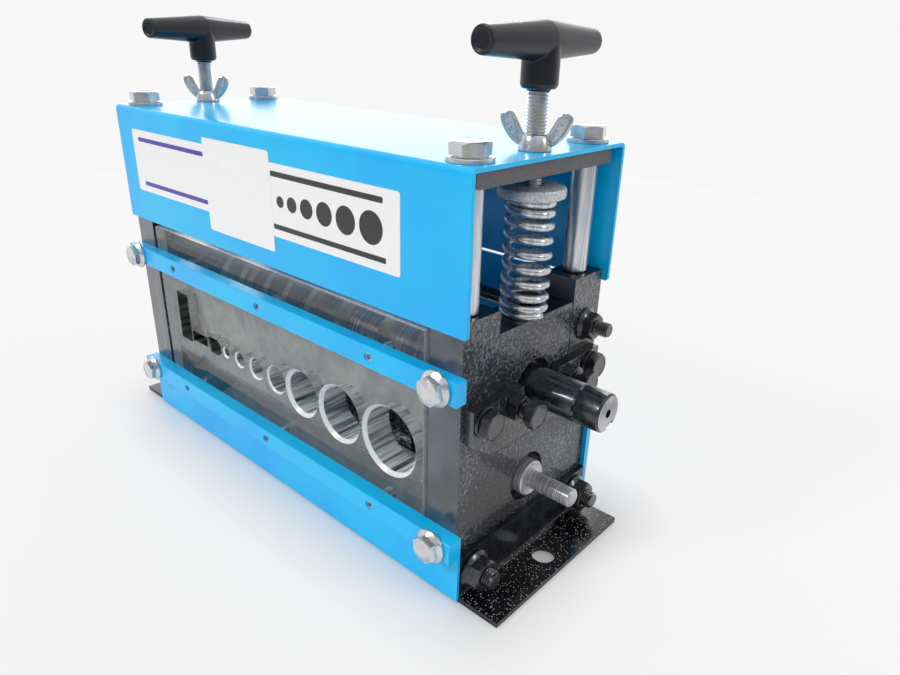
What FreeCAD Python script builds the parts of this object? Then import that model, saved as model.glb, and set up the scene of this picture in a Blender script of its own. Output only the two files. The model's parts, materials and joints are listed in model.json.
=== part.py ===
import FreeCAD, Part
import math
import os
import types

import Sketcher

# Bench wire stripper: two steel end plates carry a fixed arbor of knurled feed
# rollers and, in sliding blocks held down by springs, an arbor of slitting
# blades. The wire goes in through a clear guide plate at the front.
# +X runs along the arbors to the driven end, the guide plate faces -Y, +Z is up.
# The origin is on the bench, midway between the plates and under the arbors.

Vector = FreeCAD.Vector
doc = FreeCAD.newDocument("WireStripper")

SIZES = {
    # end plates
    "frame_span": 300.0,        # over the outer faces of both plates
    "plate_thick": 20.0,
    "plate_depth": 114.0,
    "horn_height": 153.0,
    "slot_width": 62.0,
    "slot_floor": 76.0,
    "lower_axis": 48.0,
    "upper_axis": 104.0,
    "window_radius": 14.0,      # opening for a shaft in a plate or block
    # bearings and arbors
    "bearing_radius": 21.0,
    "bearing_width": 12.0,
    "bearing_fit": 0.02,
    "shaft_radius": 10.0,
    "run_fit": 0.03,
    "face_gap": 0.3,            # turning face beside a standing one
    "shaft_edge": 1.0,
    "drive_shoulder": 4.0,      # full shaft past the end face
    "drive_length": 26.0,
    "drive_radius": 5.0,
    "upper_shaft_reach": 43.5,
    "shaft_groove": 0.6,
    "groove_place": 29.5,
    "keyway_width": 6.0,
    "keyway_depth": 3.0,
    "keyway_length": 14.0,      # it runs out into the ring groove
    "keyway_turn": 20.0,        # degrees about the arbor
    "centre_radius": 2.2,
    "centre_depth": 7.0,
    # sliding blocks
    "slide_gap": 0.15,
    "block_height": 65.0,
    "block_face_gap": 0.2,
    "lip_thick": 4.0,
    "lip_reach": 5.0,
    "lip_gap": 0.2,
    "spigot_radius": 7.6,
    "spigot_height": 8.0,
    # feed stations, left to right: feed roller and blade radius
    "feed_line": 74.0,
    "roller_a": 22.0,
    "roller_b": 23.5,
    "roller_c": 22.5,
    "roller_d": 24.5,
    "roller_e": 24.0,
    "roller_f": 23.0,
    "roller_g": 22.0,
    "roller_h": 20.0,
    "roller_i": 18.0,
    "roller_j": 16.5,
    "blade_a": 16.0,
    "blade_b": 28.0,
    "blade_c": 27.0,
    "blade_d": 29.5,
    "blade_e": 28.5,
    "blade_f": 27.5,
    "blade_g": 26.0,
    "blade_h": 23.0,
    "blade_i": 21.0,
    "blade_j": 18.0,
    "blade_thick": 3.0,
    "blade_bevel": 3.0,
    "spacer_radius": 14.0,
    "roller_spacer": 5.0,
    "roller_edge": 0.8,
    "collar_width": 6.0,
    "stack_edge": 0.3,
    # clear guide plate
    "guide_thick": 18.0,
    "guide_gap": 3.5,
    "guide_top": 143.4,
    "guide_rod_gap": 1.5,       # above the lower tie rod
    "flat_width": 14.0,         # tall opening for flat cable
    "flat_below": 6.0,
    "flat_above": 28.0,
    "low_width": 18.0,          # low opening
    "low_height": 7.0,
    "dee_width": 13.0,          # opening with one side rounded
    "dee_height": 11.0,
    "dee_bevel": 3.3,
    "bore_d": 3.1,
    "bore_e": 4.6,
    "bore_f": 6.4,
    "bore_g": 8.2,
    "bore_h": 13.0,
    "bore_i": 15.6,
    "bore_j": 18.4,
    "small_rim": 1.0,
    "large_rim": 2.0,
    "guide_screw_radius": 2.5,
    "guide_screw_spacing": 95.0,
    "guide_screw_room": 3.4,
    "guide_screw_length": 16.0,
    "guide_screw_socket": 2.8,  # across its flats
    "guide_socket_depth": 2.5,
    "guide_screw_sunk": 0.8,
    # clamp bars and skirt
    "bar_height": 12.0,
    "bar_depth": 7.0,
    "bar_overhang": 3.0,
    "bar_edge": 0.4,
    "upper_bar_line": 122.0,
    "lower_bar_line": 35.0,
    "clamp_bolt_inset": 9.0,
    "skirt_thick": 1.6,
    "skirt_bottom": 1.0,
    "skirt_corner": 1.0,
    # rear guard and screen
    "guard_thick": 4.0,
    "guard_bottom": 8.0,
    "guard_top": 79.0,
    "guard_overhang": 2.5,
    "guard_bolt_margin": 13.0,
    "screen_thick": 2.0,
    "screen_bottom": 82.0,
    "screen_cover_gap": 1.5,    # below the cover
    "screen_inset": 6.0,
    "screen_screw_margin": 8.0,
    "screw_radius": 2.5,
    "screw_head_radius": 4.75,
    "screw_head": 2.8,
    "screw_crown_radius": 3.3,
    "screw_socket": 3.0,        # across its flats
    "screw_length": 8.0,
    "exit_bottom": 56.0,        # opening behind the feed line
    "exit_top": 96.0,
    "exit_inset": 12.0,         # its sides from the end plates
    # feet
    "foot_height": 28.0,
    "foot_reach": 28.0,
    "foot_thick": 3.0,
    "foot_bend": 3.0,
    "foot_hole_place": 15.5,
    "foot_hole_radius": 6.5,
    # tie rods
    "tie_radius": 5.0,
    "tie_line": 46.0,
    "tie_height": 15.5,
    "tie_end": 5.0,             # rod past its nut
    "back_tie_radius": 4.0,
    "back_tie_line": 44.0,
    "back_tie_rise": 14.5,      # above the keeper plates
    "back_tie_end": 7.5,
    "hole_gap": 0.25,
    "thread_gap": 0.05,
    # keeper plates
    "keeper_thick": 5.0,
    "keeper_width": 107.0,
    "keeper_bottom": 81.5,
    "keeper_top": 110.5,
    "keeper_notch": 15.0,
    "keeper_corner_run": 14.0,  # lower corners, cut across
    "keeper_corner_rise": 10.5,
    "keeper_bolt_line": 45.0,
    "keeper_bolt_height": 102.5,
    "keeper_bolt_depth": 14.0,
    "jack_line": 23.0,
    "jack_end": 3.6,            # thread seen between nut and head
    # fasteners: radius, across flats, head, nut, washer
    "bolt_eight": 4.0,
    "flats_eight": 13.0,
    "head_eight": 5.3,
    "nut_eight": 6.5,
    "washer_eight": 8.0,
    "washer_eight_thick": 1.6,
    "flange_eight": 9.0,
    "flange_head_eight": 6.2,
    "flange_nut_eight": 8.0,
    "clamp_bolt_grip": 14.0,
    "bolt_ten": 5.0,
    "flats_ten": 16.0,
    "head_ten": 6.4,
    "washer_ten": 10.5,
    "washer_ten_thick": 2.0,
    "flange_ten": 10.4,
    "flange_nut_ten": 9.5,
    "flange_rim": 1.6,
    # cover, cross bars and posts
    "cover_top": 220.0,
    "cover_bottom": 147.0,
    "cover_sheet": 2.0,
    "cover_overhang": 3.6,
    "cover_bend": 3.0,
    "cover_corner": 1.0,
    "cross_thick": 8.0,
    "cross_length": 105.0,
    "cross_corner": 3.0,
    "post_radius": 6.5,
    "post_line": 45.0,
    "post_edge": 0.8,
    "post_tie_gap": 4.0,        # post bolt above the upper tie rod
    "screw_hole_gap": 1.2,
    # pressure screws, seats and springs
    "thread_radius": 5.0,
    "thread_edge": 1.0,
    "seat_drop": 5.7,           # seat below the cross bar
    "seat_radius": 16.3,
    "seat_thick": 5.3,
    "seat_edge": 1.2,
    "seat_hub_radius": 7.2,
    "seat_hub": 7.0,
    "seat_bore_floor": 3.0,
    "spring_radius": 12.3,
    "spring_wire": 4.0,
    "spring_coils": 9.5,
    "wing_hub_radius": 7.5,
    "wing_hub": 7.0,
    "wing_span": 33.6,
    "wing_height": 17.0,
    "wing_thick": 3.0,
    "wing_knee": 4.6,           # its lower corner beyond the hub, and above the cover
    "wing_bend": 4.8,
    "wing_tip": 5.6,            # width across a tip, and its slant
    "wing_lean": 2.8,
    "handle_lift": 25.5,        # stem's foot above the cover
    "stem_radius": 8.5,
    "stem_height": 20.5,
    "stem_edge": 2.0,
    "stem_screw": 12.0,
    "arm_length": 86.0,
    "arm_middle_radius": 8.6,
    "arm_end_radius": 5.8,
    "arm_recess": 0.8,
    "arm_wall": 1.6,
    "right_handle_turn": 2.5,   # degrees about the screw
    "left_handle_turn": 14.0,   # degrees about the screw
    "right_wing_turn": 22.0,    # degrees about the screw
    "left_wing_turn": 30.0,     # degrees about the screw
}

# Each feed station's place as a share of the half width between the plates.
SHARES = {
    "share_a": -0.7808,
    "share_b": -0.6446,
    "share_c": -0.4946,
    "share_d": -0.3969,
    "share_e": -0.2769,
    "share_f": -0.1362,
    "share_g": 0.0246,
    "share_h": 0.2162,
    "share_i": 0.4754,
    "share_j": 0.7808,
}

# How far each fastener was turned when it came tight, in degrees.
TIGHT_FOOT_NUT = 12
TIGHT_TIE_NUT = 20
TIGHT_KEEPER_BOLT = 14
TIGHT_JACK_SCREW = 8
TIGHT_LOCKNUT = 25
TIGHT_CLAMP_BOLT = 10
TIGHT_POST_BOLT = 20

HEX_CROWN = 0.475       # radius of a hexagon's turned face, of its flats
HEX_SLOPE = 1.732       # run for each unit of its 30 degree chamfer's rise
HALF_ROUND = 0.7071     # how far a corner lies out on a round of unit radius

HEX_CORNER = 1.0 / math.sqrt(3.0)
ROUND_STATIONS = "defghij"
STATIONS = "abcdefghij"
UP = Vector(0, 0, 1)
AXES = {"x": Vector(1, 0, 0), "y": Vector(0, 1, 0), "z": UP}

sheet = doc.addObject("Spreadsheet::Sheet", "Sizes")
for row, (alias, size) in enumerate({**SIZES, **SHARES}.items(), start=1):
    sheet.set("A%d" % row, alias)
    sheet.set("B%d" % row, str(size))
    sheet.setAlias("B%d" % row, alias)
doc.recompute()


class Formula:
    """A length that follows the sheet: its expression text and its value now."""

    def __init__(self, text, value):
        self.text = text
        self.value = value

    def _with(self, sign, other, value):
        return Formula("(%s %s %s)" % (self.text, sign, lift(other).text), value)

    def __add__(self, other):
        return self._with("+", other, self.value + lift(other).value)

    def __sub__(self, other):
        return self._with("-", other, self.value - lift(other).value)

    def __mul__(self, other):
        return self._with("*", other, self.value * lift(other).value)

    def __truediv__(self, other):
        return self._with("/", other, self.value / lift(other).value)

    def __neg__(self):
        return Formula("(0 - %s)" % self.text, -self.value)

    def __radd__(self, other):
        return lift(other) + self

    def __rsub__(self, other):
        return lift(other) - self

    def __rmul__(self, other):
        return lift(other) * self


def lift(item):
    """A Formula from a plain number, or the Formula itself."""
    if isinstance(item, Formula):
        return item
    return Formula("%.9f" % item, float(item))


S = types.SimpleNamespace()
for name in (*SIZES, *SHARES):
    setattr(S, name, Formula("Sizes." + name, float(sheet.get(name))))
ZERO = lift(0)

nodes = []
cuts = []


def node(obj, label):
    """Name a finished sub-part and list it for export."""
    obj.Label = label
    nodes.append(obj)
    return obj


def bind(obj, prop, formula):
    obj.setExpression(prop, lift(formula).text)


# ---- sketched bodies -------------------------------------------------------

PLANES = {"x": "YZ_Plane", "y": "XZ_Plane", "z": "XY_Plane"}


def new_body(name):
    body = doc.addObject("PartDesign::Body", name)
    body.AllowCompound = True
    return body


def pin_point(sketch, geometry, position, across, along):
    """Hold one point of a sketch at two lengths from its origin."""
    for kind, length in (("DistanceX", across), ("DistanceY", along)):
        length = lift(length)
        rule = Sketcher.Constraint(kind, -1, 1, geometry, position, length.value)
        bind(sketch, "Constraints[%d]" % sketch.addConstraint(rule), length)


def draw_polygon(sketch, points):
    first = sketch.GeometryCount
    count = len(points)
    spots = [Vector(lift(a).value, lift(b).value, 0) for a, b in points]
    for k in range(count):
        sketch.addGeometry(Part.LineSegment(spots[k], spots[(k + 1) % count]), False)
    for k in range(count):
        after = first + (k + 1) % count
        sketch.addConstraint(Sketcher.Constraint("Coincident", first + k, 2, after, 1))
    for k, (across, along) in enumerate(points):
        pin_point(sketch, first + k, 1, across, along)


def draw_circle(sketch, across, along, radius):
    centre = Vector(lift(across).value, lift(along).value, 0)
    ring = sketch.addGeometry(Part.Circle(centre, UP, lift(radius).value), False)
    rule = Sketcher.Constraint("Radius", ring, lift(radius).value)
    bind(sketch, "Constraints[%d]" % sketch.addConstraint(rule), radius)
    pin_point(sketch, ring, 3, across, along)


def new_sketch(body, axis, offset, outlines):
    """A sketch across an axis; offset is its place along that axis."""
    sketch = body.newObject("Sketcher::SketchObject", body.Name + "Sketch")
    for feature in body.Origin.OriginFeatures:
        if feature.Role == PLANES[axis]:
            sketch.AttachmentSupport = [(feature, "")]
    sketch.MapMode = "FlatFace"
    along_normal = -lift(offset) if axis == "y" else lift(offset)
    bind(sketch, "AttachmentOffset.Base.z", along_normal)
    for shape, *values in outlines:
        shape(sketch, *values)
    return sketch


def polygon(*points):
    return (draw_polygon, points)


def circle(across, along, radius):
    return (draw_circle, across, along, radius)


def rectangle(low_a, high_a, low_b, high_b):
    return polygon((low_a, low_b), (high_a, low_b), (high_a, high_b), (low_a, high_b))


def pad(body, axis, low, high, *outlines):
    """Material between two places along an axis."""
    feature = body.newObject("PartDesign::Pad", body.Name + "Pad")
    feature.Profile = new_sketch(body, axis, high if axis == "y" else low, outlines)
    bind(feature, "Length", lift(high) - low)
    return feature


def pocket(body, axis, low, high, *outlines):
    """A cut between two places along an axis."""
    before = body.Tip
    sketch = new_sketch(body, axis, low if axis == "y" else high, outlines)
    feature = body.newObject("PartDesign::Pocket", body.Name + "Pocket")
    feature.Profile = sketch
    bind(feature, "Length", lift(high) - low)
    cuts.append((before, feature))
    return feature


def turned(name, along, profiles, subtract=False, body=None):
    """Closed (place, radius) profiles turned about X, or about Z."""
    body = body or new_body(name)
    before = body.Tip
    if along == "x":
        sketch = new_sketch(body, "z", 0, [polygon(*profile) for profile in profiles])
    else:
        flipped = [polygon(*[(radius, place) for place, radius in profile]) for profile in profiles]
        sketch = new_sketch(body, "y", 0, flipped)
    kind = "PartDesign::Groove" if subtract else "PartDesign::Revolution"
    feature = body.newObject(kind, body.Name + "Turned")
    feature.Profile = sketch
    feature.ReferenceAxis = (sketch, ["H_Axis" if along == "x" else "V_Axis"])
    feature.Angle = 360.0
    if subtract:
        cuts.append((before, feature))
    return body


def edges_where(feature, test):
    """Names of a feature's edges for which the test holds."""
    doc.recompute()
    return ["Edge%d" % number for number, edge in enumerate(feature.Shape.Edges, start=1) if test(edge)]


def dress(body, kind, size, test):
    """A fillet or chamfer on the body's edges for which the test holds."""
    base = body.Tip
    names = edges_where(base, test)
    feature = body.newObject("PartDesign::" + kind, body.Name + kind)
    feature.Base = (base, names)
    bind(feature, "Radius" if kind == "Fillet" else "Size", size)
    return feature


def runs_along(edge, axis):
    """True for a straight edge along an axis."""
    if edge.Curve.TypeId != "Part::GeomLine":
        return False
    return abs(abs(edge.Curve.Direction.dot(AXES[axis])) - 1.0) < 1e-6


def near(value, formula):
    return abs(value - lift(formula).value) < 1e-4


# ---- primitives ------------------------------------------------------------

def place(obj, x, y, z):
    for letter, length in (("x", x), ("y", y), ("z", z)):
        bind(obj, "Placement.Base." + letter, length)
    return obj


def stand(obj, axis, low, across, along):
    """Turn a primitive's height to an axis and put its foot in place."""
    obj.Placement = FreeCAD.Placement(Vector(), FreeCAD.Rotation(UP, AXES[axis]))
    spot = {"x": (low, across, along), "y": (across, low, along), "z": (across, along, low)}
    return place(obj, *spot[axis])


def rod(axis, radius, low, high, across=ZERO, along=ZERO):
    obj = doc.addObject("Part::Cylinder", "Rod")
    bind(obj, "Radius", radius)
    bind(obj, "Height", lift(high) - low)
    return stand(obj, axis, low, across, along)


def cone(axis, low_radius, high_radius, low, high, across=ZERO, along=ZERO):
    obj = doc.addObject("Part::Cone", "Taper")
    bind(obj, "Radius1", low_radius)
    bind(obj, "Radius2", high_radius)
    bind(obj, "Height", lift(high) - low)
    return stand(obj, axis, low, across, along)


def fuse(*parts):
    if len(parts) == 1:
        return parts[0]
    obj = doc.addObject("Part::MultiFuse", "Joined")
    obj.Shapes = list(parts)
    return obj


def cut(base, *tools):
    obj = doc.addObject("Part::Cut", "Trimmed")
    obj.Base = base
    obj.Tool = fuse(*tools)
    return obj


def hexagon(flats, low, high):
    """A hexagonal prism whose upper corners are turned off."""
    prism = doc.addObject("Part::Prism", "Hexagon")
    prism.Polygon = 6
    bind(prism, "Circumradius", flats * HEX_CORNER)
    bind(prism, "Height", lift(high) - low)
    place(prism, 0, 0, low)
    height = lift(high) - low
    crown = flats * HEX_CROWN
    envelope = cone("z", crown + height * HEX_SLOPE, crown, low, high)
    obj = doc.addObject("Part::Common", "HexHead")
    obj.Base = prism
    obj.Tool = envelope
    return obj


def hex_bolt(radius, length, flats, head, flange=None):
    """A bolt with its head on z = 0 and its shank below."""
    parts = [rod("z", radius, -lift(length), ZERO), hexagon(flats, ZERO, head)]
    if flange is not None:
        parts.append(rod("z", flange, ZERO, S.flange_rim))
        parts.append(cone("z", flange, flats / 2, S.flange_rim, S.flange_rim * 2))
    return fuse(*parts)


def hex_nut(bore, flats, height, flange=None):
    parts = [hexagon(flats, ZERO, height)]
    if flange is not None:
        parts.append(rod("z", flange, ZERO, S.flange_rim))
        parts.append(cone("z", flange, flats / 2, S.flange_rim, S.flange_rim * 2))
    return cut(fuse(*parts), rod("z", bore, -lift(height), height * 2))


def washer(bore, radius, thick):
    return cut(rod("z", radius, ZERO, thick), rod("z", bore, -lift(thick), thick * 2))


def copies(label, pattern, spots):
    """One node of equal pieces: (x, y, z, direction of its +Z, turn) each."""
    doc.recompute()
    shapes = []
    for x, y, z, direction, turn in spots:
        spin = FreeCAD.Rotation(UP, turn)
        aim = FreeCAD.Rotation(UP, direction)
        base = Vector(lift(x).value, lift(y).value, lift(z).value)
        shape = pattern.Shape.copy()
        shape.Placement = FreeCAD.Placement(base, aim.multiply(spin)).multiply(pattern.Shape.Placement)
        shapes.append(shape)
    obj = doc.addObject("Part::Feature", label)
    obj.Shape = Part.makeCompound(shapes)
    return node(obj, label)


# ---- shared places ---------------------------------------------------------

END = S.frame_span / 2                      # outer face of an end plate
INNER = END - S.plate_thick
MIDDLE = END - S.plate_thick / 2
FRONT = -(S.plate_depth / 2)
BACK = S.plate_depth / 2
CROSS_TOP = S.cover_top - S.cover_sheet
CROSS_FOOT = CROSS_TOP - S.cross_thick
SEAT_TOP = CROSS_FOOT - S.seat_drop
SEAT_FOOT = SEAT_TOP - S.seat_thick
BLOCK_TOP = S.slot_floor + S.block_height
BAR_BACK = FRONT
LOWER_BAR_BACK = FRONT - S.skirt_thick
SCREEN_TOP = S.cover_bottom - S.screen_cover_gap
BACK_TIE_HEIGHT = S.keeper_top + S.back_tie_rise
POST_TIP = BACK_TIE_HEIGHT + S.back_tie_radius + S.post_tie_gap
SIDES = ((1, "right"), (-1, "left"))
OUT = {1: Vector(1, 0, 0), -1: Vector(-1, 0, 0)}
TO_FRONT = Vector(0, -1, 0)
TO_BACK = Vector(0, 1, 0)


def span(side, near_end, far_end):
    """A (low, high) pair on one side of the middle."""
    if side > 0:
        return lift(near_end), lift(far_end)
    return -lift(far_end), -lift(near_end)


def station(kind, letter):
    return getattr(S, kind + "_" + letter)


def station_place(letter):
    """Where a feed station lies along the arbors."""
    return INNER * station("share", letter)


# ---- end plates and what they carry ----------------------------------------

def end_plate(side, word):
    body = new_body("EndPlate")
    low, high = span(side, INNER, END)
    slot_side = S.slot_width / 2
    tie_hole = S.tie_radius + S.hole_gap
    pad(body, "x", low, high,
        polygon((FRONT, ZERO), (BACK, ZERO), (BACK, S.horn_height), (slot_side, S.horn_height),
                (slot_side, S.slot_floor), (-slot_side, S.slot_floor),
                (-slot_side, S.horn_height), (FRONT, S.horn_height)),
        circle(ZERO, S.lower_axis, S.window_radius),
        circle(S.tie_line, S.tie_height, tie_hole),
        circle(-S.tie_line, S.tie_height, tie_hole),
        circle(S.back_tie_line, BACK_TIE_HEIGHT, S.back_tie_radius + S.hole_gap))
    seat = span(side, INNER, INNER + S.bearing_width)
    pocket(body, "x", *seat, circle(ZERO, S.lower_axis, S.bearing_radius + S.bearing_fit))
    thread = S.bolt_eight + S.thread_gap
    holes = span(side, END - S.keeper_bolt_depth, END)
    pocket(body, "x", *holes,
           circle(S.keeper_bolt_line, S.keeper_bolt_height, thread),
           circle(-S.keeper_bolt_line, S.keeper_bolt_height, thread))
    clamp = side * (END - S.clamp_bolt_inset)
    pocket(body, "y", FRONT, FRONT + S.clamp_bolt_grip,
           circle(clamp, S.upper_bar_line, thread),
           circle(clamp, S.lower_bar_line, thread))
    guard = [circle(side * MIDDLE, height, thread) for height in guard_bolt_heights()]
    pocket(body, "y", BACK - S.clamp_bolt_grip, BACK, *guard)
    screw = S.screw_radius + S.thread_gap
    screws = [circle(side * MIDDLE, height, screw) for height in screen_screw_heights()]
    pocket(body, "y", BACK + S.screen_thick - S.screw_length, BACK, *screws)
    post = S.bolt_ten + S.thread_gap
    pocket(body, "z", POST_TIP, S.horn_height,
           circle(side * MIDDLE, S.post_line, post),
           circle(side * MIDDLE, -S.post_line, post))
    return node(body, "end_plate_" + word)


def guard_bolt_heights():
    return (S.guard_bottom + S.guard_bolt_margin * 2, S.guard_top - S.guard_bolt_margin)


def screen_screw_heights():
    return (S.screen_bottom + S.screen_screw_margin, SCREEN_TOP - S.screen_screw_margin)


def foot(side, word):
    """An angle along the end plate's foot, with one hole for a bench bolt."""
    body = new_body("Foot")
    near_x, far_x = END, END + S.foot_reach
    wall = END + S.foot_thick
    profile = [(near_x, ZERO), (far_x, ZERO), (far_x, S.foot_thick),
               (wall, S.foot_thick), (wall, S.foot_height), (near_x, S.foot_height)]
    pad(body, "y", FRONT, BACK, polygon(*[(side * x, z) for x, z in profile]))
    dress(body, "Fillet", S.foot_bend,
          lambda edge: runs_along(edge, "y") and near(abs(edge.CenterOfMass.x), wall)
          and near(edge.CenterOfMass.z, S.foot_thick))
    tie_hole = S.tie_radius + S.hole_gap
    walls = span(side, END, wall)
    pocket(body, "x", *walls, circle(S.tie_line, S.tie_height, tie_hole),
           circle(-S.tie_line, S.tie_height, tie_hole))
    pocket(body, "z", ZERO, S.foot_thick,
           circle(side * (END + S.foot_hole_place), ZERO, S.foot_hole_radius))
    return node(body, "foot_angle_" + word)


def tie_rods():
    reach = END + S.foot_thick + S.flange_nut_ten + S.tie_end
    long_rod = rod("x", S.tie_radius, -reach, reach)
    copies("lower_tie_rods", long_rod,
           [(0, line, S.tie_height, UP, 0) for line in (S.tie_line, -S.tie_line)])
    back_reach = END + S.flange_nut_eight + S.back_tie_end
    back_rod = rod("x", S.back_tie_radius, -back_reach, back_reach, S.back_tie_line, BACK_TIE_HEIGHT)
    node(back_rod, "upper_tie_rod")
    lower_nut = hex_nut(S.tie_radius + S.thread_gap, S.flats_ten, S.flange_nut_ten, S.flange_ten)
    spots = []
    for side, word in SIDES:
        for line in (S.tie_line, -S.tie_line):
            spots.append((side * (END + S.foot_thick), line, S.tie_height, OUT[side], TIGHT_FOOT_NUT))
    copies("foot_nuts", lower_nut, spots)
    back_nut = hex_nut(S.back_tie_radius + S.thread_gap, S.flats_eight, S.flange_nut_eight, S.flange_eight)
    copies("upper_tie_nuts", back_nut,
           [(side * END, S.back_tie_line, BACK_TIE_HEIGHT, OUT[side], TIGHT_TIE_NUT) for side, word in SIDES])


def bearing():
    """A shielded ball bearing: its shields lie a little inside its rings."""
    width = S.bearing_width
    bore = S.shaft_radius + S.run_fit
    ring = (S.bearing_radius - bore) / 4
    low, high = bore + ring, S.bearing_radius - ring
    sunk = ring / 3
    profile = [(ZERO, bore), (ZERO, low), (sunk, low), (sunk, high), (ZERO, high), (ZERO, S.bearing_radius),
               (width, S.bearing_radius), (width, high), (width - sunk, high), (width - sunk, low),
               (width, low), (width, bore)]
    return turned("Bearing", "x", [profile])


def bearings():
    unit = bearing()
    lower = []
    upper = []
    for side, word in SIDES:
        place_x = INNER if side > 0 else -INNER - S.bearing_width
        lower.append((place_x, ZERO, S.lower_axis, UP, 0))
        upper.append((place_x, ZERO, S.upper_axis, UP, 0))
    copies("lower_bearings", unit, lower)
    copies("upper_bearings", unit, upper)


def keeper(side, word):
    """The plate that holds a sliding block in its slot from outside."""
    body = new_body("Keeper")
    half = S.keeper_width / 2
    notch = S.keeper_notch
    slope = notch * HALF_ROUND
    foot = half - S.keeper_corner_run
    heel = S.keeper_bottom + S.keeper_corner_rise
    low, high = span(side, END, END + S.keeper_thick)
    pad(body, "x", low, high,
        polygon((-foot, S.keeper_bottom), (foot, S.keeper_bottom), (half, heel), (half, S.keeper_top),
                (notch, S.keeper_top), (notch, S.upper_axis), (slope, S.upper_axis - slope),
                (ZERO, S.upper_axis - notch), (-slope, S.upper_axis - slope),
                (-notch, S.upper_axis), (-notch, S.keeper_top), (-half, S.keeper_top),
                (-half, heel)),
        circle(S.keeper_bolt_line, S.keeper_bolt_height, S.bolt_eight + S.hole_gap),
        circle(-S.keeper_bolt_line, S.keeper_bolt_height, S.bolt_eight + S.hole_gap),
        circle(S.jack_line, S.keeper_bolt_height, S.bolt_eight + S.thread_gap),
        circle(-S.jack_line, S.keeper_bolt_height, S.bolt_eight + S.thread_gap))
    return node(body, "keeper_plate_" + word)


def keeper_fasteners():
    grip = S.keeper_thick + S.washer_eight_thick + S.keeper_bolt_depth - S.hole_gap
    bolt = hex_bolt(S.bolt_eight, grip, S.flats_eight, S.head_eight)
    ring = washer(S.bolt_eight + S.hole_gap, S.washer_eight, S.washer_eight_thick)
    face = END + S.keeper_thick
    bolts = []
    rings = []
    for side, word in SIDES:
        for line in (S.keeper_bolt_line, -S.keeper_bolt_line):
            spot = (line, S.keeper_bolt_height, OUT[side])
            bolts.append((side * (face + S.washer_eight_thick), *spot, TIGHT_KEEPER_BOLT))
            rings.append((side * face, *spot, 0))
    copies("keeper_bolts", bolt, bolts)
    copies("keeper_washers", ring, rings)
    length = S.keeper_thick + S.nut_eight + S.jack_end
    jack = hex_bolt(S.bolt_eight, length, S.flats_eight, S.head_eight)
    nut = hex_nut(S.bolt_eight + S.thread_gap, S.flats_eight, S.nut_eight)
    jacks = []
    nuts = []
    for side, word in SIDES:
        for line in (S.jack_line, -S.jack_line):
            jacks.append((side * (END + length), line, S.keeper_bolt_height, OUT[side], TIGHT_JACK_SCREW))
            nuts.append((side * face, line, S.keeper_bolt_height, OUT[side], TIGHT_LOCKNUT))
    copies("jack_screws", jack, jacks)
    copies("jack_locknuts", nut, nuts)


# ---- sliding blocks and arbors ---------------------------------------------

def block(side, word):
    """A sliding block: guided by the slot, kept from inside by its lips."""
    body = new_body("Block")
    half = S.slot_width / 2 - S.slide_gap
    lip_half = S.slot_width / 2 + S.lip_reach
    inside = INNER - S.lip_gap
    pad(body, "x", *span(side, inside, END - S.block_face_gap),
        rectangle(-half, half, S.slot_floor, BLOCK_TOP),
        circle(ZERO, S.upper_axis, S.window_radius))
    pad(body, "x", *span(side, inside - S.lip_thick, inside),
        rectangle(-lip_half, lip_half, S.slot_floor + S.lip_reach, BLOCK_TOP),
        circle(ZERO, S.upper_axis, S.bearing_radius + S.bearing_fit))
    pocket(body, "x", *span(side, inside, INNER + S.bearing_width),
           circle(ZERO, S.upper_axis, S.bearing_radius + S.bearing_fit))
    pad(body, "z", BLOCK_TOP, BLOCK_TOP + S.spigot_height,
        circle(side * MIDDLE, ZERO, S.spigot_radius))
    return node(body, "bearing_block_" + word)


def disc(low, high, bore, radius, edge):
    """Profile of a disc on a shaft with both rims turned off."""
    return [(low, bore), (low, radius - edge), (low + edge, radius), (high - edge, radius),
            (high, radius - edge), (high, bore)]


def upper_arbor():
    tail = -(INNER + S.bearing_width)
    tip = END + S.upper_shaft_reach
    ring = END + S.groove_place
    radius, edge, groove = S.shaft_radius, S.shaft_edge, S.shaft_groove
    profile = [(tail, ZERO), (tail, radius - edge), (tail + edge, radius),
               (ring - groove, radius), (ring, radius - groove), (ring + groove, radius),
               (tip - edge, radius), (tip, radius - edge),
               (tip, S.centre_radius), (tip - S.centre_depth, S.centre_radius), (tip - S.centre_depth, ZERO)]
    shaft = turned("UpperShaft", "x", [profile])
    half = S.keyway_width / 2
    pocket(shaft, "x", tip - S.keyway_length, tip,
           rectangle(-half, half, -radius - edge, -radius + S.keyway_depth))
    shaft.Placement = FreeCAD.Placement(Vector(), FreeCAD.Rotation(AXES["x"], S.keyway_turn.value))
    bind(shaft, "Placement.Base.z", S.upper_axis)
    bind(shaft, "Placement.Rotation.Angle", S.keyway_turn)
    node(shaft, "upper_shaft")

    bore = radius
    half = S.blade_thick / 2
    discs = []
    for letter in STATIONS:
        at = station_place(letter)
        rim = station("blade", letter)
        shoulder = rim - S.blade_bevel
        discs.append([(at - half, bore), (at - half, shoulder), (at, rim),
                      (at + half, shoulder), (at + half, bore)])
    blades = turned("Blades", "x", discs)
    bind(blades, "Placement.Base.z", S.upper_axis)
    node(blades, "slitting_blades")

    rings = []
    for left, right in zip(STATIONS, STATIONS[1:]):
        low = station_place(left) + half
        high = station_place(right) - half
        rings.append(disc(low, high, bore, S.spacer_radius, S.stack_edge))
    spacers = turned("BladeSpacers", "x", rings)
    bind(spacers, "Placement.Base.z", S.upper_axis)
    node(spacers, "blade_spacers")

    stop = INNER - S.face_gap
    ends = [disc(-stop, station_place("a") - half, bore, S.spacer_radius, S.stack_edge),
            disc(station_place("j") + half, stop, bore, S.spacer_radius, S.stack_edge)]
    collars = turned("UpperCollars", "x", ends)
    bind(collars, "Placement.Base.z", S.upper_axis)
    node(collars, "upper_end_sleeves")


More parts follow.
